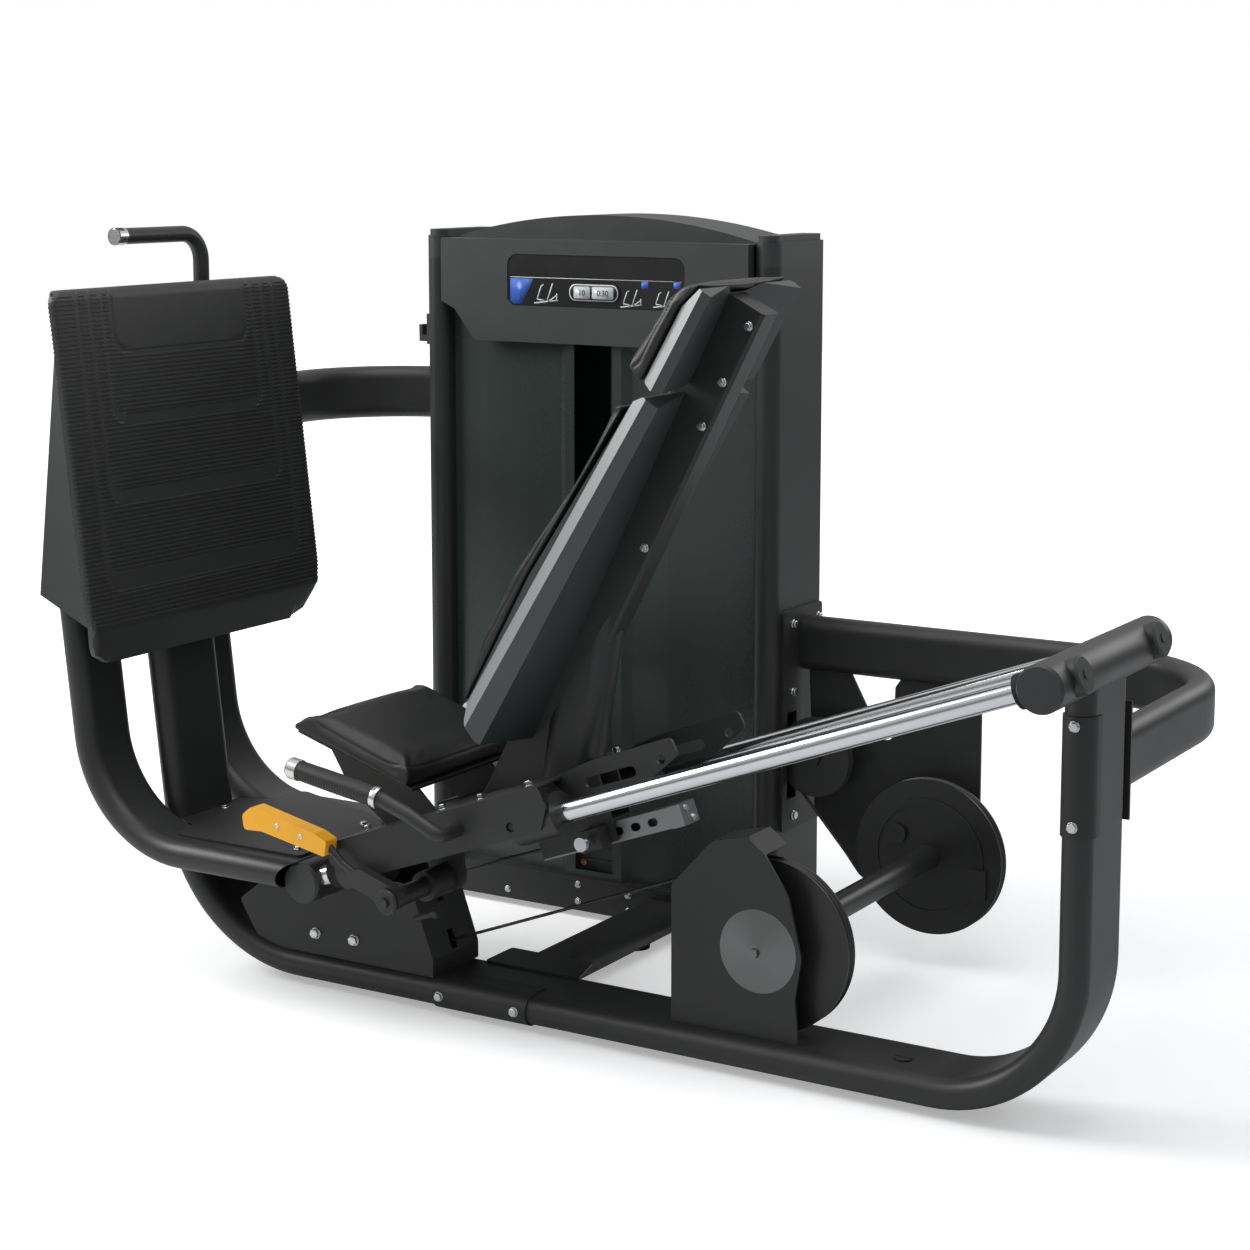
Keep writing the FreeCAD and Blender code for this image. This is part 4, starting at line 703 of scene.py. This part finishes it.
for name, (node, _, up, out, _, _, middle, reach) in cushions.items():
    piece = made[name]
    finish_skin(piece)
    rim = rim_line(piece, middle, up, out, reach, GROOVE_RISE, RIM_POINTS)
    press_line(piece, rim, GROOVE_WIDTH, GROOVE_DEPTH)
    stitches = bmesh.new()
    thread_line(stitches, rim_line(piece, middle, up, out, reach, STITCH_RISE, RIM_POINTS),
                STITCH_PITCH, STITCH_LENGTH, STITCH_RADIUS)
    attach(piece, "carriage")
    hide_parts(node)
    new_piece(name + "_stitches", mesh_of(name + "_stitches", stitches), thread, "carriage")


# Bolts: zinc-plated hexagon socket heads on turned washers, tightened by hand so that no two
# point the same way.
def turned(bm, profile, place, axis, steps=32, shape=None):
    """Adds (along, radius) pairs revolved about an axis; shape(angle) may scale the radius."""
    axis = Vector(axis).normalized()
    side = axis.orthogonal().normalized()
    other = axis.cross(side)
    rings = []
    for along, radius in profile:
        ring = []
        for k in range(steps):
            angle = 2 * math.pi * k / steps
            reach = radius * shape(angle) if shape else radius
            ring.append(bm.verts.new(
                Vector(place) + axis * along
                + (side * math.cos(angle) + other * math.sin(angle)) * reach))
        rings.append(ring)
    for low_ring, high_ring in zip(rings, rings[1:]):
        for k in range(steps):
            n = (k + 1) % steps
            bm.faces.new((low_ring[k], low_ring[n], high_ring[n], high_ring[k]))
    bm.faces.new(list(reversed(rings[0])))
    bm.faces.new(rings[-1])


def islands(node):
    """Connected groups of a CAD node's faces, as lists of bmesh faces, with their bmesh."""
    bm = bmesh.new()
    bm.from_mesh(cad[node].data)
    bmesh.ops.remove_doubles(bm, verts=bm.verts, dist=1e-6)
    left, groups = set(bm.faces), []
    while left:
        stack, group = [left.pop()], []
        while stack:
            face = stack.pop()
            group.append(face)
            for edge in face.edges:
                for other in edge.link_faces:
                    if other in left:
                        left.remove(other)
                        stack.append(other)
        groups.append(group)
    return bm, groups


def bolt_seats(node):
    """(seat point, outward axis, washer radius, height) of every bolt in a CAD node."""
    bm, groups = islands(node)
    seats = []
    for group in groups:
        sums = {}
        for face in group:
            key = tuple(round(v, 2) for v in face.normal)
            sums[key] = sums.get(key, 0) + face.calc_area()
        axis = Vector(max(sums, key=sums.get)).normalized()
        verts = {v for face in group for v in face.verts}
        heights = [v.co.dot(axis) for v in verts]
        top, bottom = max(heights), min(heights)

        def spread(level):
            near = [v.co for v in verts if abs(v.co.dot(axis) - level) < 2e-4]
            hub = sum(near, Vector()) / len(near)
            return hub, max((c - hub).length for c in near)

        high_hub, high_r = spread(top)
        low_hub, low_r = spread(bottom)
        if high_r > low_r:
            axis, high_hub, low_hub, low_r = -axis, low_hub, high_hub, high_r
        seats.append((low_hub, axis, low_r, top - bottom))
    bm.free()
    return seats


def hexagon(turn, round_off=0.97):
    """A turned head's scale at each angle, for six flats with eased corners."""
    def scale(angle):
        part = (angle - turn) % (math.pi / 3) - math.pi / 6
        return min(round_off, math.cos(math.pi / 6) / math.cos(part))

    return scale


WASHER, WASHER_MARGIN, BOLT_TURN = 0.0015, 0.0012, 1.7


def bolt_heads(name, node, body):
    """Dressed bolts in place of a CAD node's plain ones."""
    bm = bmesh.new()
    for k, (seat, axis, radius, height) in enumerate(bolt_seats(node)):
        turned(bm, [(0, radius), (WASHER * 0.6, radius), (WASHER, radius - 0.0006)], seat, axis,
               28)
        head, tall = radius - WASHER_MARGIN, height - WASHER
        start = seat + axis * WASHER
        turned(bm, [(-0.0003, head * 0.98), (0.0004, head), (tall - 0.0011, head),
                    (tall - 0.0003, head * 0.93), (tall, head * 0.86)],
               start, axis, 48, hexagon(k * BOLT_TURN))
        turned(bm, [(tall - 0.0001, head * 0.5), (tall + 0.00005, head * 0.46),
                    (tall + 0.00006, head * 0.44)], start, axis, 24)
    piece = new_piece(name, mesh_of(name, bm), bolt_plate, body, smooth=28)
    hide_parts(node)


bolt_plate = coated("zinc_bolt", lay, (0.56, 0.57, 0.58), tone=0.2, rough=0.22, spread=0.14,
                    relief=0.03, depth=0.0002, Metallic=1.0)
bolt_heads("frame_bolt_heads", "frame_bolts", "frame")
bolt_heads("carriage_bolt_heads", "carriage_bolts", "carriage")


# Seat grips: soft black sleeves, smooth where the palm lies and ribbed under the fingers,
# held on the steel handles by turned aluminium collars and end caps.
def grip_sleeve(bm, start, end, radius, low_rib, pitch):
    """Adds a sleeve between two points, barrel-shaped, with ribs on its under side only."""
    axis = (end - start).normalized()
    length = (end - start).length
    across = Vector((0, 1, 0))
    up = axis.cross(across).normalized()
    if up.z < 0:
        up = -up
    count, steps = int(length / pitch * 6), 48
    rings = []
    for i in range(count + 1):
        t = length * i / count
        bulge = radius - 0.0008 * (1 - math.sin(math.pi * t / length))
        ridge = 0.5 + 0.5 * math.cos(2 * math.pi * t / pitch)
        ends = min(1.0, t / 0.008, (length - t) / 0.008)
        ring = []
        for k in range(steps):
            angle = 2 * math.pi * k / steps
            under = max(0.0, min(1.0, (0.15 - math.sin(angle)) / 0.3))
            r = bulge - low_rib * (1 - ridge) * under * max(0.0, ends)
            ring.append(bm.verts.new(start + axis * t + across * (r * math.cos(angle))
                                     + up * (r * math.sin(angle))))
        rings.append(ring)
    for a, b in zip(rings, rings[1:]):
        for k in range(steps):
            n = (k + 1) % steps
            bm.faces.new((a[k], a[n], b[n], b[k]))
    bm.faces.new(list(reversed(rings[0])))
    bm.faces.new(rings[-1])
    bmesh.ops.recalc_face_normals(bm, faces=bm.faces)


sleeves, caps = bmesh.new(), bmesh.new()
for y in (-505, 55):
    near_end, far_end = drawn_point(-262, y, 463.4), drawn_point(-440, y, 491.6)
    grip_sleeve(sleeves, near_end, far_end, 0.019, 0.0012, 0.0062)
    way = (far_end - near_end).normalized()
    turned(caps, [(-0.0088, 0.0165), (-0.0084, 0.0195), (-0.0072, 0.02), (-0.0018, 0.02),
                  (-0.001, 0.0196), (0.004, 0.0193)], near_end, way, 40)
    turned(caps, [(-0.0075, 0.0194), (-0.007, 0.02), (0.0125, 0.02), (0.0155, 0.0182),
                  (0.016, 0.0165), (0.016, 0.0062), (0.0148, 0.0058), (0.0148, 0.0045),
                  (0.0158, 0.0038)], far_end, way, 40)
soft_grip = coated("soft_grip", rubber_grain, (0.0135, 0.0136, 0.0138), tone=0.3, rough=0.48,
                   spread=0.12, relief=0.16, depth=0.0003, Specular_IOR_Level=0.4)
aluminium = coated("turned_aluminium", lay, (0.66, 0.665, 0.67), tone=0.12, rough=0.24,
                   spread=0.1, relief=0.03, depth=0.0002, Metallic=1.0)
sleeve = new_piece("grip_sleeves", mesh_of("grip_sleeves", sleeves), soft_grip, "carriage",
                   smooth=40)
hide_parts("handle_grips")
new_piece("grip_caps", mesh_of("grip_caps", caps), aluminium, "carriage",
          smooth=25)


# Release lever fixings: two small countersunk screws hold the yellow grip on its rod.
screws = bmesh.new()
grip_low, grip_high = (Vector(corner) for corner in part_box("lever_grip"))
for share in (0.42, 0.70):
    seat = Vector((grip_low.x + (grip_high.x - grip_low.x) * share, grip_low.y,
                   grip_high.z + (grip_low.z - grip_high.z) * (0.14 + 0.62 * share)))
    turned(screws, [(-0.001, 0.0046), (0.0006, 0.0046), (0.0011, 0.0040), (0.0011, 0.0022),
                    (0.0004, 0.0020)], seat, (0, -1, 0), 24)
new_piece("lever_screws", mesh_of("lever_screws", screws), bolt_plate, "lever",
          smooth=25)


# Gusset peg: a short turned rest peg with a wider end, in the frame's coat, screwed into the
# nose of the gusset box beside the cable.
peg = bmesh.new()
peg_foot, peg_end = drawn_point(-306, -330, 186), drawn_point(-252, -330, 208)
turned(peg, [(0, 0.0065), (0.044, 0.0065), (0.0445, 0.0095), (0.0465, 0.0102),
             (0.0560, 0.0102), (0.0575, 0.0092), (0.0575, 0.0045), (0.0565, 0.0042)],
       peg_foot, peg_end - peg_foot, 28)
new_piece("gusset_peg", mesh_of("gusset_peg", peg), frame_coat, "frame",
          smooth=25)


# Footplate handle tip: a bright turned sleeve with a dark bore on the end of the bent tube.
TUBE_RADIUS, TUBE_LEAN = 0.0172, 0.0262
tip_low, tip_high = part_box("footplate_handle")
tip = bmesh.new()
tube_end = Vector((tip_low[0] + TUBE_RADIUS, tip_low[1], tip_high[2] - TUBE_RADIUS))
turned(tip, [(0.0002, 0.0085), (0.0002, 0.0150), (0.0016, 0.0170), (0.0240, 0.0170),
             (0.0246, 0.0162)], tube_end, (TUBE_LEAN, 1, 0), 40)
new_piece("handle_tip", mesh_of("handle_tip", tip), aluminium, "frame",
          smooth=25)


# Footplate tread: one thick rubber mat, moulded with fine cross ribs. Three nested smooth
# channels and a bare name panel interrupt the ribs, and its lower edge turns back as a lip.
def tread_mesh():
    low_x, low_z, top_x, top_z = -867.6, 716.0, -942.6, 1351.0
    length = math.hypot(top_x - low_x, top_z - low_z)
    way = Vector(((top_x - low_x) / length, 0, (top_z - low_z) / length))
    out = Vector((way.z, 0, -way.x))
    lip_way = Vector((-895 + 868, 0, 642 - 716)).normalized()
    lip_out = Vector((-lip_way.z, 0, lip_way.x))
    half, pitch, rib = 346.0, 8.3, 1.6
    # outer half width, inner half width, outer foot, inner foot, inner corner
    channels = [(227, 215, 376, 396, 34), (261, 249, 224, 253, 36), (294, 282, 62, 99, 38)]

    def inside(y, t, wide, bottom, corner):
        """Depth inside a shape open at the top, with rounded lower corners."""
        dy, dt = wide - abs(y), t - bottom
        if dy < corner and dt < corner:
            return corner - math.hypot(corner - dy, corner - dt)
        return min(dy, dt)

    def height(y, t):
        """Height of the rubber over its base at a place across and up the plate."""
        cell = (t - 3) % pitch
        ramp = min(cell / 0.8, (5.0 - cell) / 0.8)
        level = rib * max(0.0, min(1.0, ramp))
        if t < -2 or t > length - 16:
            level = rib * 0.9
        for outer, inner, bottom, top, corner in channels:
            depth = min(inside(y, t, outer, bottom, corner + 8),
                        -inside(y, t, inner, top, corner))
            level *= 1 - max(0.0, min(1.0, 0.5 + depth / 1.6))
        panel = inside(y, t, 192, 515, 36)
        if panel > -9:
            level = 0.0 if panel < 0 else rib * max(0.0, min(1.0, panel / 1.5))
        return level

    rows = [-79, -60, -40, -22, -10, -4]
    t = 0.0
    while t < length:
        rows += [t + d for d in (0.0, 3.0, 3.8, 7.2, 8.0) if t + d < length - 1]
        t += pitch
    rows = sorted({round(r, 2) for r in rows} | {length - 0.5, length})
    columns = [-half, -half + 1.5, -half + 4]
    edge = -half + 10
    while edge < -299:
        columns.append(edge)
        edge += 9
    fine = -299.0
    while fine < -180:
        columns.append(fine)
        fine += 2.4
    columns += [-176, -160, -140, -110, -75, -38]
    columns += [0] + [-c for c in reversed(columns)]
    bm = bmesh.new()
    grid = []
    for t in rows:
        if t < 62:
            drop = min(1.0, (62 - t) / 141)
            wide = half - 68 * (1 - math.sqrt(max(0.0, 1 - drop ** 2.2)))
        elif t > length - 30:
            wide = half - 30 + math.sqrt(max(0.0, 900 - (t - length + 30) ** 2))
        else:
            wide = half
        line = []
        for y in columns:
            y = max(-wide, min(wide, y))
            side = wide - abs(y)
            level = height(y, t)
            level -= 6 * (1 - min(1.0, side / 6)) ** 2.2
            if t > length - 24:
                level -= 16 * (1 - math.sqrt(max(0.0, 1 - ((t - length + 24) / 24) ** 2)))
            if t >= 0:
                place = Vector((low_x, 0, low_z)) + way * t + out * level
            else:
                place = Vector((low_x, 0, low_z)) - lip_way * t + lip_out * level
            line.append(bm.verts.new(drawn_point(place.x, y - 225, place.z)))
        grid.append(line)
    for a, b in zip(grid, grid[1:]):
        for k in range(len(columns) - 1):
            bm.faces.new((a[k], a[k + 1], b[k + 1], b[k]))
    bmesh.ops.remove_doubles(bm, verts=bm.verts, dist=2e-5)
    bmesh.ops.dissolve_degenerate(bm, edges=bm.edges, dist=1e-6)
    rim = [e for e in bm.edges if len(e.link_faces) == 1]
    sides = bmesh.ops.extrude_edge_only(bm, edges=rim)
    moved = [g for g in sides["geom"] if isinstance(g, bmesh.types.BMVert)]
    for vert in moved:
        vert.co -= out * 0.010
    last = [g for g in sides["geom"] if isinstance(g, bmesh.types.BMEdge)
            and len(g.link_faces) == 1]
    bmesh.ops.contextual_create(bm, geom=last)
    bmesh.ops.recalc_face_normals(bm, faces=bm.faces)
    return mesh_of("tread_mat", bm)


mat = new_piece("tread_mat", tread_mesh(), tread, "frame", smooth=30)
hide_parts("footplate_face")


# Placard: a dark printed board behind the console's window, with a small lit counter, plain
# numbers and simple drawings of the machine. It is left bare of any name.
def flat_print(bm, outline, y, thick=0.3):
    """Adds a thin raised print from an outline in the board's own plane."""
    face = [bm.verts.new(drawn_point(x, y, z)) for x, z in outline]
    back = [bm.verts.new(drawn_point(x, y + thick, z)) for x, z in outline]
    bm.faces.new(face)
    bm.faces.new(list(reversed(back)))
    for k in range(len(face)):
        n = (k + 1) % len(face)
        bm.faces.new((face[k], back[k], back[n], face[n]))


def pill(x0, x1, z0, z1, corner, steps=6):
    """Outline of a rectangle with rounded corners."""
    points = []
    for cx, cz, turn in ((x1 - corner, z1 - corner, 0), (x0 + corner, z1 - corner, 1),
                         (x0 + corner, z0 + corner, 2), (x1 - corner, z0 + corner, 3)):
        for k in range(steps + 1):
            angle = (turn + k / steps) * math.pi / 2
            points.append((cx + corner * math.cos(angle), cz + corner * math.sin(angle)))
    return points


def printed(name, outlines, y, material):
    """A named print of several outlines, fixed to the frame."""
    bm = bmesh.new()
    for outline in outlines:
        flat_print(bm, outline, y)
    bmesh.ops.recalc_face_normals(bm, faces=bm.faces)
    new_piece(name, mesh_of(name, bm), material, "frame")


def strip(x0, z0, x1, z1, wide):
    """Outline of a straight drawn stroke."""
    dx, dz = x1 - x0, z1 - z0
    size = math.hypot(dx, dz)
    nx, nz = -dz / size * wide / 2, dx / size * wide / 2
    return [(x0 + nx, z0 + nz), (x0 - nx, z0 - nz), (x1 - nx, z1 - nz), (x1 + nx, z1 + nz)]


def machine_drawing(x, z, size):
    """Strokes of a small plain drawing of a seat on a sloping rail."""
    parts = [(0, 0, 1, 0.12), (0.12, 0.14, 0.30, 0.62), (0.30, 0.62, 0.40, 0.66),
             (0.12, 0.14, 0.42, 0.10), (0.55, 0.10, 0.78, 0.72), (0.60, 0.06, 0.95, 0.30),
             (0.42, 0.0, 0.42, 0.10), (0.95, 0.12, 0.95, 0.36)]
    return [strip(x + a * size, z + b * size, x + c * size, z + d * size, size * 0.045)
            for a, b, c, d in parts]


film = coated("board_film", moulded, (0.012, 0.012, 0.0125), tone=0.2, rough=0.3, spread=0.1,
              relief=0.05, depth=0.0002, Specular_IOR_Level=0.45)
print_blue = coated("print_blue", moulded, (0.030, 0.110, 0.46), tone=0.3, rough=0.35, spread=0.1,
                    relief=0.03, depth=0.0002)
print_white = coated("print_white", moulded, (0.62, 0.63, 0.64), tone=0.1, rough=0.4, spread=0.1,
                     relief=0.03, depth=0.0002)
counter_glass = coated("counter_glass", moulded, (0.50, 0.53, 0.54), tone=0.2, rough=0.25,
                       spread=0.1, relief=0.02, depth=0.0002)
counter_black = coated("counter_black", moulded, (0.006, 0.006, 0.0065), tone=0.2, rough=0.3,
                       spread=0.1, relief=0.02, depth=0.0002)
dress(film, "placard")
BOARD, COUNTER, FILM = 353.5, 350, 0.3
printed("board_blue", [[(-541, 1344), (-541, 1296), (-532, 1291), (-512, 1291), (-484, 1344)],
                       pill(-224, -208, 1331, 1345, 2), pill(-149, -133, 1333, 1347, 2)],
        BOARD - FILM, print_blue)
printed("board_lines", [strip(-541, 1346.5, -131, 1346.5, 1.2)]
        + machine_drawing(-482, 1294, 58) + machine_drawing(-273, 1292, 50)
        + machine_drawing(-196, 1294, 46), BOARD - FILM, print_white)
printed("counter_face", [pill(-394, -277, 1302, 1336, 15)], COUNTER - FILM, print_white)
printed("counter_field", [pill(-392, -279, 1304, 1334, 14)], COUNTER - 2 * FILM, counter_black)
printed("counter_windows", [pill(-383, -344, 1306.5, 1331.5, 4),
                            pill(-339, -288, 1306.5, 1331.5, 4)],
        COUNTER - 3 * FILM, counter_glass)


def plain_number(name, text, place, height, material, body):
    """A plain number in relief, facing the front of the machine."""
    line = bpy.data.curves.new(name, "FONT")
    line.body = text
    line.size = height * 1.38
    line.align_x = "CENTER"
    line.extrude = 0.00012
    line.resolution_u = 3
    letter = bpy.data.objects.new(name, line)
    scene.collection.objects.link(letter)
    mesh = evaluated_mesh(letter)
    bpy.data.objects.remove(letter)
    mesh.transform(Matrix.Translation(place) @ Matrix.Rotation(math.pi / 2, 4, "X"))
    new_piece(name, mesh, material, body)


for name, text, x in (("counter_reps", "10", -363.5), ("counter_time", "0:30", -313.5)):
    plain_number(name, text, drawn_point(x, 348.9, 1313), 0.012, counter_black, "frame")


# Weight labels: an orange ring and a plain number on the edge of each plate, in a column
# beside the pin holes.
ring_orange = coated("ring_orange", moulded, (0.80, 0.22, 0.02), tone=0.1, rough=0.4, spread=0.1,
                     relief=0.03, depth=0.0002)
LABEL_X, PLATE_STEP = -0.366, 10
shown_weight = PLATE_STEP
for node, body in (("weight_stack_lifted", "stack"), ("weight_stack_rest", "frame")):
    bm, groups = islands(node)
    plates = []
    for group in groups:
        verts = [v.co for face in group for v in face.verts]
        low_z, high_z = min(v.z for v in verts), max(v.z for v in verts)
        wide = max(v.x for v in verts) - min(v.x for v in verts)
        if wide > 0.15 and high_z - low_z < 0.06:
            plates.append((low_z, high_z, min(v.y for v in verts)))
    bm.free()
    rings = bmesh.new()
    for low_z, high_z, front in sorted(plates, reverse=True):
        centre = Vector((LABEL_X, front, (low_z + high_z) / 2))
        turned(rings, [(-0.0001, 0.0068), (0.0003, 0.0068), (0.0003, 0.0052), (-0.0001, 0.0052)],
               centre, (0, -1, 0), 24)
        plain_number(f"plate_number_{shown_weight}", str(shown_weight),
                     centre + Vector((0.0, -0.0004, -0.0026)), 0.0052, print_white, body)
        shown_weight += PLATE_STEP
    new_piece(node + "_rings", mesh_of(node + "_rings", rings), ring_orange, body,
              smooth=25)
